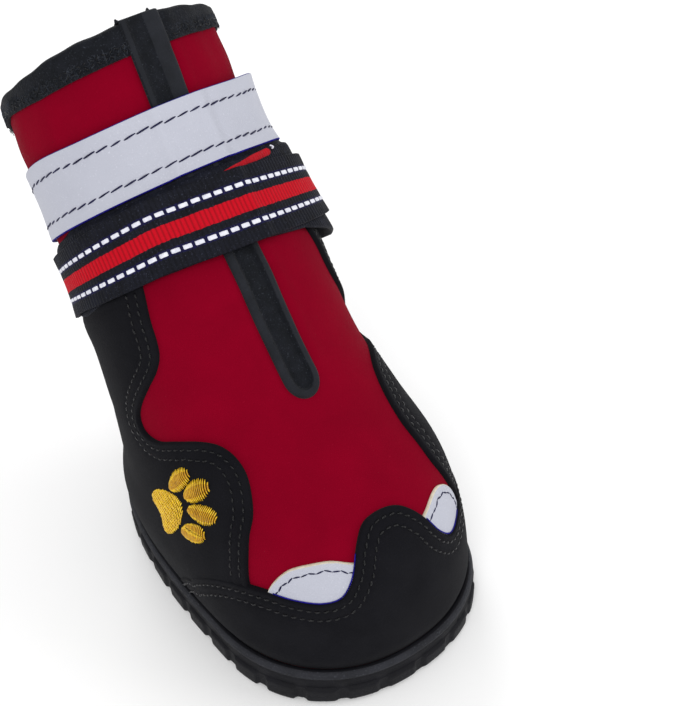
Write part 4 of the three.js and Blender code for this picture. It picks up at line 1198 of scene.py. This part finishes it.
class BOOTIE_OT_webbing(BootieOperator, bpy.types.Operator):
    """Ribbed webbing strap with its red stripe and two rows of woven white dashes."""

    bl_idname = "bootie.webbing"
    bl_label = "Webbing strap"

    def execute(self, context):
        angles = np.linspace(STRAP_FREE_END, STRAP_SEWN_END, 900)
        distance = strap_lengths(angles)
        centre = soft_table_value(STRAP_CENTRE, 1, angles)
        across, height = tape_loop(STRAP_WIDTH, millimetres("webbing"), 0.3, 32)
        pitch = millimetres("rib_pitch")
        rings = []
        for place, high in zip(across, height):
            rib = 0.0
            if high > 0.8 * height.max():
                calm = 1 - 0.8 * bump_at(abs(place), DASH_ROW, 0.9)
                rib = 0.17 * calm * ribs(distance + 0.25 * pitch * (abs(place) > 2.0), pitch)
            splay = 1 + 0.17 * bump_at(angles, STRAP_FREE_END - 2.0, 10.0) * (place < 0)
            rings.append(skin(centre + place * splay / STRAP_SCALE, angles,
                              webbing_low(angles) + high + rib))
        faces = grid_faces(len(rings), len(angles), True).tolist()
        faces += end_caps(len(rings), len(angles))
        across_map = np.zeros((len(rings), len(angles), 2))
        across_map[..., 1] = across[:, None] / 10.0
        across_map[..., 0] = distance / 100.0
        make_piece("striped_webbing_strap", np.array(rings), faces, ["striped_webbing_weave"],
                   across=across_map.reshape(-1, 2), slot="striped_webbing",
                   replaces=["webbing_strap"])
        parts = []
        dash_pitch = millimetres("dash_pitch")
        length = millimetres("dash_length")
        for row in (-DASH_ROW, DASH_ROW):
            count = int(distance[-1] / dash_pitch)
            starts = np.arange(count) * dash_pitch + 0.4
            along = np.linspace(0.0, 1.0, 9)
            lane = np.linspace(-1.0, 1.0, 7)
            places = starts[:, None] + along * length
            angle = np.interp(places, distance, angles)
            middle = soft_table_value(STRAP_CENTRE, 1, angle) + row / STRAP_SCALE
            station = middle[..., None] + lane * 0.58 / STRAP_SCALE
            angle = np.broadcast_to(angle[..., None], station.shape)
            round_ends = (1 - np.abs(2 * along - 1) ** 6)[:, None] ** 0.5
            round_sides = (1 - np.abs(lane) ** 4) ** 0.5
            high = webbing_low(angle) + millimetres("webbing")
            top = skin(station, angle, high - 0.05 + 0.34 * round_ends * round_sides)
            low = skin(station, angle, high - 0.3)
            one = grid_faces(9, 7)[:, ::-1]
            rim = ([(0, lane_at) for lane_at in range(7)] + [(at, 6) for at in range(1, 9)]
                   + [(8, lane_at) for lane_at in range(5, -1, -1)]
                   + [(at, 0) for at in range(7, 0, -1)])
            rim = [at * 7 + lane_at for at, lane_at in rim]
            faces = one.tolist() + (one[:, ::-1] + 63).tolist()
            faces += [[start, end, end + 63, start + 63][::-1]
                      for start, end in zip(rim, rim[1:] + rim[:1])]
            for dash in range(count):
                points = np.concatenate([top[dash].reshape(-1, 3), low[dash].reshape(-1, 3)])
                parts.append((points, faces))
        points, faces = join_parts(parts)
        make_piece("webbing_dashes", points, faces, ["white_polyester_thread"])
        return {"FINISHED"}


class BOOTIE_OT_seams(BootieOperator, bpy.types.Operator):
    """Double rows of stitches on the panels, and the seams of patches and binding."""

    bl_idname = "bootie.seams"
    bl_label = "Seams"

    def execute(self, context):
        length = millimetres("seam_length")
        gap = millimetres("seam_gap")
        width = millimetres("seam_width")
        first = millimetres("seam_inset")
        top = GAP + millimetres("panel") - 0.08
        left, right = panel_seams()
        toe = toe_cap_seam()
        parts = []
        for inset in (first, first + millimetres("seam_spacing")):
            parts.append(stitch_row(inset_path(toe, inset), top + 0.27, length, gap, width,
                                    swing=0.10))
            for seam in (left, right):
                path = inset_path(seam, inset)
                cap = np.interp(wrapped(path[:, 1]), [row[1] for row in TOE_CAP_EDGE],
                                [row[0] for row in TOE_CAP_EDGE])
                parts.append(stitch_row(path[path[:, 0] > cap + 0.006], top, length, gap, width,
                                        swing=0.10))
        points, faces = join_parts(parts)
        make_piece("panel_stitches", points, faces, ["black_polyester_thread"])
        parts = []
        for edge in (LEFT_PATCH_EDGE, RIGHT_PATCH_EDGE):
            seam = inset_path(smooth_path(edge)[::-1], 2.1)
            parts.append(stitch_row(seam, 0.84, 1.9, 0.02, 0.44, zigzag=0.2, taper=0.15))
        points, faces = join_parts(parts)
        make_piece("patch_stitches", points, faces, ["navy_polyester_thread"])
        parts = []
        for low, high in ((-51.0, -16.5), (11.5, 36.0)):
            edge = smooth_path(TOE_CAP_EDGE)
            edge = edge[(edge[:, 1] > low) & (edge[:, 1] < high)]
            edge = even_path(beside(edge, 0.10), 0.5)
            centres = skin(edge[:, 0], edge[:, 1], 0.95)
            radii = np.full((1, len(edge)), 0.17)
            parts.append(thread_bundle(centres[None], skin_normal(*edge.T)[None], radii))
        points, faces = join_parts(parts)
        make_piece("patch_border_thread", points, faces, ["navy_tape_backing"])
        parts = []
        angles = np.linspace(-180.0, 180.0, 500)
        for depth, slant in ((BINDING_DEPTH - 1.2, 0.45), (BINDING_DEPTH - 2.4, -0.45)):
            reach = 1.0 + (depth - 1.0) * table_value(BINDING_SHARES, 1, angles)
            line = np.stack([1 - reach / COLLAR_SCALE, angles], axis=-1)
            parts.append(stitch_row(line, 1.10, 1.3, 0.35, 0.36, zigzag=slant))
        points, faces = join_parts(parts)
        make_piece("binding_stitches", points, faces, ["black_polyester_thread"])
        # The loose fibres' grey colour is a painted sheen.
        rng = np.random.default_rng(11)
        count = 1500
        angle = rng.uniform(-180.0, 180.0, count)[:, None]
        share = table_value(BINDING_SHARES, 1, angle)
        depth = 1.0 + (BINDING_DEPTH - 1.0) * share - rng.uniform(0.05, 3.2, count)[:, None]
        heading = rng.uniform(0, 2 * math.pi, count)[:, None]
        length = rng.uniform(0.5, 1.5, count)[:, None]
        way = np.linspace(-0.5, 0.5, 5)
        bend = rng.uniform(-0.5, 0.5, count)[:, None] * (way * 2) ** 2
        ahead = length * (way * np.cos(heading) - bend * np.sin(heading))
        upward = length * (way * np.sin(heading) + bend * np.cos(heading))
        station = 1 - (depth - upward) / COLLAR_SCALE
        angle = angle + ahead / 0.6
        offset = 1.06 + 0.16 * (1 - (way * 2) ** 2)
        centres = skin(station, angle, np.broadcast_to(offset, station.shape))
        radii = np.broadcast_to(0.07 * (1 - 0.5 * np.abs(way * 2)), station.shape)
        points, faces = thread_bundle(centres, skin_normal(station, angle), radii, 4, 1.0)
        make_piece("binding_fibres", points, faces, ["brushed_fibre_painted_sheen"])
        return {"FINISHED"}


# The paw print: its middle on the last, and the big pad's length in millimetres. The pads'
# outlines and places are shares of that length, forward and up from the middle.
PAW_MIDDLE = (0.229, -87.0)
PAW_LENGTH = 12.8
BIG_PAD = [
    (-0.59, 0.01), (-0.55, -0.11), (-0.40, -0.16), (-0.28, -0.24), (-0.22, -0.36),
    (-0.20, -0.49), (-0.13, -0.58), (0.01, -0.55), (0.18, -0.40), (0.38, -0.12),
    (0.45, 0.11), (0.46, 0.34), (0.39, 0.47), (0.23, 0.51), (0.01, 0.49), (-0.18, 0.42),
    (-0.40, 0.28), (-0.53, 0.15),
]
# Middle forward and up, half length, half width, and turn in degrees.
TOE_PADS = [
    (0.22, 0.86, 0.33, 0.18, 58.0), (0.67, 0.85, 0.31, 0.20, 47.0),
    (0.94, 0.51, 0.36, 0.17, 12.0), (0.80, 0.02, 0.36, 0.19, 28.0),
]


def paw_place(ahead, up):
    """Station and angle so many millimetres forward and up from the print's middle."""
    station = np.full(np.shape(ahead), PAW_MIDDLE[0])
    angle = np.full(np.shape(ahead), PAW_MIDDLE[1])
    middle = last_face(*PAW_MIDDLE)
    for _ in range(6):
        along, around = travel(station, angle)
        here = last_face(station, angle)
        ahead_left = ahead + here[..., 1] - middle[1]
        up_left = up - here[..., 2] + middle[2]
        spread = around[..., 1] * along[..., 2] - along[..., 1] * around[..., 2]
        station = station + (ahead_left * around[..., 2] + up_left * around[..., 1]) / spread
        angle = angle - (ahead_left * along[..., 2] + up_left * along[..., 1]) / spread
    return station, angle


def toe_outline(ahead, up, length, width, turn):
    """A toe pad's oval, a little fuller at its far end."""
    spin = np.linspace(0.0, 2 * math.pi, 40, endpoint=False)
    along = length * np.cos(spin)
    side = width * np.sin(spin) * (1 + 0.14 * np.cos(spin))
    cosine = math.cos(math.radians(turn))
    sine = math.sin(math.radians(turn))
    return np.stack([ahead + along * cosine - side * sine,
                     up + along * sine + side * cosine], axis=-1)


def satin_threads(outline, turn, pitch, reach, rng):
    """Threads across an outline. Reach is the longest stitch, and turn the threads' lie."""
    cosine = math.cos(math.radians(turn))
    sine = math.sin(math.radians(turn))
    along = outline[:, 0] * cosine + outline[:, 1] * sine
    side = outline[:, 1] * cosine - outline[:, 0] * sine
    closed_along = np.append(along, along[0])
    closed_side = np.append(side, side[0])
    threads = []
    rows = np.arange(side.min() + pitch / 2, side.max(), pitch)
    for number, row in enumerate(rows):
        crossing = []
        for start in range(len(along)):
            first, last = closed_side[start], closed_side[start + 1]
            if (first - row) * (last - row) < 0:
                share = (row - first) / (last - first)
                crossing.append(closed_along[start] * (1 - share) + closed_along[start + 1] * share)
        if len(crossing) < 2:
            continue
        low = min(crossing) - rng.uniform(0.0, 0.22)
        high = max(crossing) + rng.uniform(0.0, 0.22)
        if high - low < 0.8:
            continue
        cuts = np.arange(math.floor(low / reach), math.ceil(high / reach) + 1) * reach
        cuts = cuts + 0.16 * row + rng.uniform(-0.08, 0.08)
        cuts = [low, *[cut for cut in cuts if low + 0.45 < cut < high - 0.45], high]
        for begin, finish in zip(cuts[:-1], cuts[1:]):
            threads.append((begin, finish, row))
    return np.array(threads), cosine, sine


class BOOTIE_OT_paw(BootieOperator, bpy.types.Operator):
    """Satin-stitched paw print on the outer side."""

    bl_idname = "bootie.paw"
    bl_label = "Embroidered paw print"

    def execute(self, context):
        rng = np.random.default_rng(7)
        parts = []
        grounds = []
        deep = []
        base = GAP + millimetres("panel") + 0.02
        pitch = millimetres("satin_pitch")
        pads = [(np.array(BIG_PAD) * PAW_LENGTH, 82.0, 1.25, 0.62)]
        for pad in TOE_PADS:
            oval = toe_outline(*pad) * PAW_LENGTH
            pads.append((oval, pad[4] + 78.0, 20.0, 0.85))
        for outline, turn, reach, crown in pads:
            middle = outline.mean(axis=0)
            size = np.linalg.norm(outline - middle, axis=1).max()
            edge_tree = KDTree(len(outline) * 8)
            loop = np.concatenate([outline, outline[:1]])
            for number in range(len(outline)):
                for share in range(8):
                    spot = loop[number] + (loop[number + 1] - loop[number]) * share / 8
                    edge_tree.insert(Vector((*spot, 0.0)), number * 8 + share)
            edge_tree.balance()
            threads, cosine, sine = satin_threads(outline, turn, pitch, reach, rng)
            share = np.linspace(0.0, 1.0, 9)
            along = threads[:, :1] + (threads[:, 1:2] - threads[:, :1]) * share
            side = np.broadcast_to(threads[:, 2:], along.shape)
            forward = along * cosine - side * sine
            upward = along * sine + side * cosine
            depth = np.array([edge_tree.find(Vector((*spot, 0.0)))[2] for spot in
                              np.stack([forward.ravel(), upward.ravel()], axis=-1)])
            swell = crown * np.sqrt(np.clip(depth.reshape(along.shape) / (0.45 * size), 0, 1))
            ends = 0.20 * (1 - np.sin(math.pi * share) ** 0.5)
            station, angle = paw_place(forward, upward)
            centres = skin(station, angle, base + swell + 0.02 - ends)
            radii = 0.215 * (0.5 + 0.5 * np.sin(math.pi * share) ** 0.4)
            radii = radii * rng.uniform(0.82, 1.05, (len(threads), 1))
            parts.append(thread_bundle(centres, skin_normal(station, angle), radii, 6, 0.9))
            # Painted shade: the middle rings of each toe pad's threads get the deeper gold.
            ring = np.arange(8 * 6 + 2) // 6
            crown_ring = (ring >= 2) & (ring < 6) & (reach > 5.0)
            deep += np.tile(crown_ring, len(threads)).tolist()
            rings = []
            for ring, high in ((1.0, -0.15), (0.99, 0.0), (0.85, 0.50), (0.65, 0.78), (0.35, 0.96)):
                spots = middle + (outline - middle) * ring
                rings.append(skin(*paw_place(spots[:, 0], spots[:, 1]), base + crown * high - 0.14))
            faces = grid_faces(5, len(outline), around_columns=True).tolist()
            faces += [[4 * len(outline) + index for index in range(len(outline))],
                      list(range(len(outline)))[::-1]]
            grounds.append((np.array(rings), faces))
        points, faces = join_parts(parts)
        make_piece("embroidered_paw_print", points, faces,
                   ["golden_rayon_thread", "golden_rayon_thread_painted_shade"],
                   face_finish=np.array(deep, int), slot="embroidery_thread",
                   replaces=["paw_pad", "paw_toe_1", "paw_toe_2", "paw_toe_3", "paw_toe_4"])
        # The dark sheet under the threads: painted shade showing in the gaps between them.
        points, faces = join_parts(grounds)
        make_piece("embroidery_ground_painted_shade", points, faces, ["dark_ground_painted_shade"])
        return {"FINISHED"}


def sole_cells():
    cells = [float(through(SECTIONS[:, 0], column, np.array(0.03))) for column in SECTION_COLUMNS]
    cells[1] = cells[3] = 0.0
    return cells


def sole_outline(angle, growth, height):
    points = section_point(sole_cells(), np.asarray(angle, float), growth)
    points[..., 2] = height
    return points


def underside(forward):
    share = forward / FOOT_LENGTH
    toe = step_smooth((share - 0.40) / 0.20)
    arch = 1 - step_smooth((np.abs(share + 0.12) - 0.04) / 0.05)
    return 1.1 * toe + 0.8 * arch


class BOOTIE_OT_sole(BootieOperator, bpy.types.Operator):
    """Moulded rubber cup sole with its rounded lip, side lugs and chevron tread."""

    bl_idname = "bootie.sole"
    bl_label = "Rubber sole"

    def execute(self, context):
        fine = np.linspace(0.0, 360.0, 4001)
        edge = sole_outline(fine, LIP_WALL, 0.0)
        lengths = np.concatenate([[0], np.cumsum(np.linalg.norm(np.diff(edge, axis=0), axis=1))])
        perimeter = lengths[-1]
        lugs = round(perimeter / LUG_PITCH)
        columns = lugs * 32
        places = np.arange(columns) * perimeter / columns
        angles = np.interp(places, lengths, fine)
        phase = places * lugs / perimeter % 1.0
        lug = step_smooth((phase - 0.01) / 0.12) * (1 - step_smooth((phase - 0.74) / 0.13))
        wall = LIP_WALL + GAP
        rings = [sole_outline(angles, -20.0 + 4 * step, PLATE_TOP) for step in range(4)]
        floor_edge = skin_free(0.0, angles, GAP)
        floor_edge[:, 2] = PLATE_TOP
        rings.append(floor_edge)
        rings += [skin_free(LIP_STATION * share, angles, GAP) for share in (0.3, 0.65, 1.0)]
        for turn in np.linspace(0.0, math.pi, 11)[1:-1]:
            ring = skin_free(LIP_STATION, angles, GAP + LIP_WALL / 2 * (1 - math.cos(turn)))
            ring[:, 2] += 0.75 * math.sin(turn) ** 0.8
            rings.append(ring)
        upper_wall = skin_free(LIP_STATION, angles, wall)
        lower_wall = sole_outline(angles, wall + 0.2, LIP_HEIGHT - 2.2)
        lip_first = len(rings) - 4
        for share, proud in ((0.0, 0.08), (0.15, 0.26), (0.3, 0.34), (0.45, 0.30), (0.6, 0.16),
                             (0.72, -0.06), (0.84, -0.16), (1.0, -0.06)):
            ring = upper_wall + (lower_wall - upper_wall) * share
            rings.append(ring + outward(angles) * proud)
        lip_last = len(rings) - 5
        heights = [7.4, 6.9, 6.4, 5.9, 5.5]
        for height in heights:
            rings.append(self.marked(angles, places, wall + 0.2, height))
        profile = [
            (5.25, 0.15, 0.55), (5.0, 0.05, 0.85), (4.6, 0.0, 1.0), (3.9, 0.0, 1.0),
            (3.1, 0.0, 0.97), (2.3, 0.0, 0.95), (1.5, 0.0, 0.92), (0.8, 0.0, 0.86),
            (0.35, -0.05, 0.70), (0.08, -0.2, 0.40), (0.0, -0.5, 0.0),
        ]
        for height, groove, proud in profile:
            ground = underside(-sole_outline(angles, 0.0, 0.0)[:, 1])
            low = np.maximum(height, 0.5 * TREAD_DEPTH)
            lug_height = ground + height * (5.25 - ground) / 5.25
            level = low + (lug_height - low) * lug
            growth = wall + groove * 0.6 + 0.25 * (1 - lug) + (LUG_PROUD * proud + 0.05) * lug
            rings.append(sole_outline(angles, growth, level))
        ground = underside(-sole_outline(angles, -3.0, 0.0)[:, 1])
        for growth, share in ((1.0, 0.55), (-0.5, 0.8), (-2.0, 1.0), (-4.0, 1.0), (-LUG_BAND + 0.3, 1.0)):
            floor = TREAD_DEPTH * share
            rings.append(sole_outline(angles, growth, floor + (ground - floor) * lug))
        rings.append(sole_outline(angles, -LUG_BAND, TREAD_DEPTH + (ground + 0.4 - TREAD_DEPTH) * lug))
        rings += [sole_outline(angles, -LUG_BAND - step, TREAD_DEPTH) for step in (0.3, 4, 9, 13)]
        faces = grid_faces(len(rings), columns, around_columns=True)[:, ::-1].tolist()
        faces += [list(range(columns)), [(len(rings) - 1) * columns + at for at in range(columns)][::-1]]
        ring_count = (len(rings) - 1) * columns
        parts = [(np.array(rings), faces), *self.tread_bars()]
        points, faces = join_parts(parts)
        ring = np.full(len(faces), -1)
        ring[:ring_count] = np.arange(ring_count) // columns
        # Painted highlight: the lip's crest rings get the lighter rubber.
        lip = (ring >= lip_first) & (ring < lip_last)
        make_piece("rubber_cup_sole", points, faces,
                   ["moulded_black_rubber", "lip_rubber_painted_highlight"], sharp=50,
                   face_finish=lip.astype(int), slot="sole_rubber", replaces=["outsole"])
        return {"FINISHED"}

    def marked(self, angles, places, growth, height):
        """A ring of the side wall, with the shallow moulded line at the toe's outer corner."""
        ring = sole_outline(angles, growth, height)
        level = bump_at(height, 6.6, 0.35) * ((angles > 22) & (angles < 44))
        upright = bump_at(angles, 22.0, 0.5) * (height < 6.8)
        return ring - outward(angles) * (0.35 * np.maximum(level, upright))[:, None]

    def tread_bars(self):
        """Chevron bars inside the ring of lugs, with softened edges."""
        half = BALL_WIDTH / 2
        room = sole_outline(np.linspace(0.0, 180.0, 400), -LUG_BAND - 1.6, 0.0)
        forward, reach = -room[::-1, 1], room[::-1, 0]
        bars = []
        for index in range(-4, 5):
            middle = index * 9.0
            side = half
            for _ in range(12):
                spine = middle - 3.5 * side / half
                ends = [np.interp(spine + edge, forward, reach, 0.0, 0.0) for edge in (-2.2, 2.2)]
                side = 0.5 * side + 0.5 * min(min(ends), half)
            if side < 3.0:
                continue
            low = float(underside(np.array(middle)))
            across = np.linspace(-side, side, 41)
            spine = middle - 3.5 * np.sqrt(across**2 + 1.0) / half
            shape = [(2.2, TREAD_DEPTH + 0.6), (2.2, low + 0.45), (1.95, low + 0.1), (1.6, low),
                     (-1.6, low), (-1.95, low + 0.1), (-2.2, low + 0.45), (-2.2, TREAD_DEPTH + 0.6)]
            rows = [np.stack([across, -(spine + step), np.full(41, height)], axis=-1)
                    for step, height in shape]
            faces = grid_faces(8, 41, around_rows=True)[:, ::-1].tolist()
            faces += [face[::-1] for face in end_caps(8, 41)]
            bars.append((np.array(rows), faces))
        return bars


def outward(angles):
    step = sole_outline(angles, 1.0, 0.0) - sole_outline(angles, 0.0, 0.0)
    return unit(step)


def skin_free(station, angle, offset):
    """A point off the last itself, without the cloth's folds."""
    station, angle = np.broadcast_arrays(np.asarray(station, float), np.asarray(angle, float))
    normal = skin_normal(station, angle)
    return last_face(station, angle) + normal * offset


class BOOTIE_OT_insole(BootieOperator, bpy.types.Operator):
    """Cloth-faced foam insole on the sole's floor."""

    bl_idname = "bootie.insole"
    bl_label = "Insole"

    def execute(self, context):
        columns = 160
        angles = np.arange(columns) * 360.0 / columns - 180.0
        edge = -millimetres("wall") - GAP
        low = PLATE_TOP + GAP
        rings = []
        for height, inset in ((0.0, 0.4), (0.3, 0.05), (1.4, 0.0), (1.8, 0.2), (2.0, 0.6)):
            ring = skin_free(0.0, angles, edge - inset)
            ring[:, 2] = low + height
            rings.append(ring)
        rim = rings[-1]
        centre = rim.mean(axis=0)
        for share in (0.9, 0.75, 0.5, 0.25):
            ring = centre + (rim - centre) * share
            ring[:, 2] = low + 2.0 - 0.25 * (1 - share**2)
            rings.append(ring)
        faces = grid_faces(len(rings), columns, around_columns=True).tolist()
        faces += [list(range(columns))[::-1],
                  [(len(rings) - 1) * columns + at for at in range(columns)]]
        make_piece("foam_insole", np.array(rings), faces, ["cloth_faced_foam"],
                   slot="insole_foam", replaces=["insole"])
        return {"FINISHED"}


# The camera stands where the photograph's camera did: azimuth, elevation and roll in
# degrees, and the distance from its target in metres.
CAMERA = {"azimuth": -32.56, "elevation": 37.86, "roll": -5.69, "distance": 0.300}
CAMERA_TARGET = (0.0, -0.005, 0.070)
FOCAL_PIXELS = 1222.51
FRAME_PIXELS = (679, 706)
AXIS_PIXELS = (269.49, 349.03)
SENSOR = 36.0


class BOOTIE_OT_stage(BootieOperator, bpy.types.Operator):
    """Pale floor, soft studio light and the camera."""

    bl_idname = "bootie.stage"
    bl_label = "Stage"

    def execute(self, context):
        scene = context.scene
        mesh = bpy.data.meshes.new("studio_floor")
        spin = np.arange(96) * 2 * math.pi / 96
        rings = [(radius * math.cos(turn), radius * math.sin(turn), 0.0)
                 for radius in (0.3, 4.0) for turn in spin]
        faces = grid_faces(2, 96, around_columns=True)[:, ::-1].tolist() + [list(range(96))]
        mesh.from_pydata(rings, [], faces)
        floor = bpy.data.objects.new("studio_floor", mesh)
        scene.collection.objects.link(floor)
        paint = bpy.data.materials.new("matt_white_backdrop_paper")
        paint.use_nodes = True
        tree = paint.node_tree
        shader = next(node for node in tree.nodes if node.type == "BSDF_PRINCIPLED")
        shader.inputs["Roughness"].default_value = 0.9
        shader.inputs["Specular IOR Level"].default_value = 0.1
        place = add(tree, "ShaderNodeTexCoord").outputs["Object"]
        pulp = add(tree, "ShaderNodeTexNoise", {"Vector": place, "Scale": 6.0, "Detail": 2.0})
        pale = (*scene.bootie_colours.floor, 1.0)
        warm = (*(part * 0.985 for part in scene.bootie_colours.floor), 1.0)
        paper = add(tree, "ShaderNodeValToRGB", {"Fac": pulp.outputs["Fac"]},
                    stops=[(0.3, warm), (0.7, pale)])
        tree.links.new(paper.outputs["Color"], shader.inputs["Base Color"])
        mesh.materials.append(paint)
        world = bpy.data.worlds.new("soft_white_room")
        world.use_nodes = True
        background = world.node_tree.nodes["Background"]
        background.inputs["Color"].default_value = (1.0, 1.0, 1.0, 1.0)
        background.inputs["Strength"].default_value = 0.70
        scene.world = world
        for name, place, size, power in (
            ("key_softbox", (-0.75, -0.85, 1.15), 0.9, 10.0),
            ("fill_softbox", (0.95, -0.65, 0.70), 0.9, 3.8),
            ("rim_softbox", (0.35, 1.10, 1.00), 0.8, 5.5),
        ):
            light = bpy.data.lights.new(name, "AREA")
            light.shape = "DISK"
            light.size = size
            light.energy = power
            lamp = bpy.data.objects.new(name, light)
            lamp.location = place
            lamp.rotation_euler = (Vector((0, 0, 0.06)) - Vector(place)).to_track_quat(
                "-Z", "Y").to_euler()
            scene.collection.objects.link(lamp)
        self.place_camera(scene)
        scene.view_settings.view_transform = "Standard"
        return {"FINISHED"}

    def place_camera(self, scene):
        azimuth = math.radians(CAMERA["azimuth"])
        elevation = math.radians(CAMERA["elevation"])
        roll = math.radians(CAMERA["roll"])
        back = Vector((math.sin(azimuth) * math.cos(elevation),
                       -math.cos(azimuth) * math.cos(elevation), math.sin(elevation)))
        right = Vector((math.cos(azimuth), math.sin(azimuth), 0.0))
        up = back.cross(right)
        rolled_right = right * math.cos(roll) + up * math.sin(roll)
        rolled_up = up * math.cos(roll) - right * math.sin(roll)
        lens = bpy.data.cameras.new("camera")
        long_side = max(FRAME_PIXELS)
        lens.sensor_width = SENSOR
        lens.lens = FOCAL_PIXELS * SENSOR / long_side
        lens.shift_x = (FRAME_PIXELS[0] / 2 - AXIS_PIXELS[0]) / long_side
        lens.shift_y = (AXIS_PIXELS[1] - FRAME_PIXELS[1] / 2) / long_side
        lens.clip_start = 0.01
        camera = bpy.data.objects.new("camera", lens)
        turn = Matrix((rolled_right, rolled_up, back)).transposed().to_4x4()
        spot = Vector(CAMERA_TARGET) + back * CAMERA["distance"]
        camera.matrix_world = Matrix.Translation(spot) @ turn
        scene.collection.objects.link(camera)
        scene.camera = camera


PIECE_OPERATORS = (
    BOOTIE_OT_stage, BOOTIE_OT_sole, BOOTIE_OT_insole, BOOTIE_OT_upper, BOOTIE_OT_overlays,
    BOOTIE_OT_patches, BOOTIE_OT_gusset, BOOTIE_OT_binding, BOOTIE_OT_band,
    BOOTIE_OT_strap_base, BOOTIE_OT_webbing, BOOTIE_OT_seams, BOOTIE_OT_paw,
)


class BOOTIE_PT_panel(bpy.types.Panel):
    """Lists the bootie's pieces and sizes."""

    bl_idname = "BOOTIE_PT_panel"
    bl_label = "Dog Bootie"
    bl_space_type = "VIEW_3D"
    bl_region_type = "UI"
    bl_category = "Bootie"

    def draw(self, context):
        layout = self.layout
        for operator in PIECE_OPERATORS:
            layout.operator(operator.bl_idname)
        for group in (context.scene.bootie_sizes, context.scene.bootie_colours):
            for name in group.__annotations__:
                layout.prop(group, name)


CLASSES = (BootieSizes, BootieColours, *PIECE_OPERATORS, BOOTIE_PT_panel)


def register():
    for each in CLASSES:
        bpy.utils.register_class(each)
    bpy.types.Scene.bootie_sizes = PointerProperty(type=BootieSizes)
    bpy.types.Scene.bootie_colours = PointerProperty(type=BootieColours)


def unregister():
    del bpy.types.Scene.bootie_colours
    del bpy.types.Scene.bootie_sizes
    for each in reversed(CLASSES):
        bpy.utils.unregister_class(each)


def main():
    register()
    bpy.ops.bootie.stage()
    bpy.ops.bootie.sole()
    bpy.ops.bootie.insole()
    bpy.ops.bootie.upper()
    bpy.ops.bootie.overlays()
    bpy.ops.bootie.patches()
    bpy.ops.bootie.gusset()
    bpy.ops.bootie.binding()
    bpy.ops.bootie.band()
    bpy.ops.bootie.strap_base()
    bpy.ops.bootie.webbing()
    bpy.ops.bootie.seams()
    bpy.ops.bootie.paw()


if __name__ == "__main__":
    main()
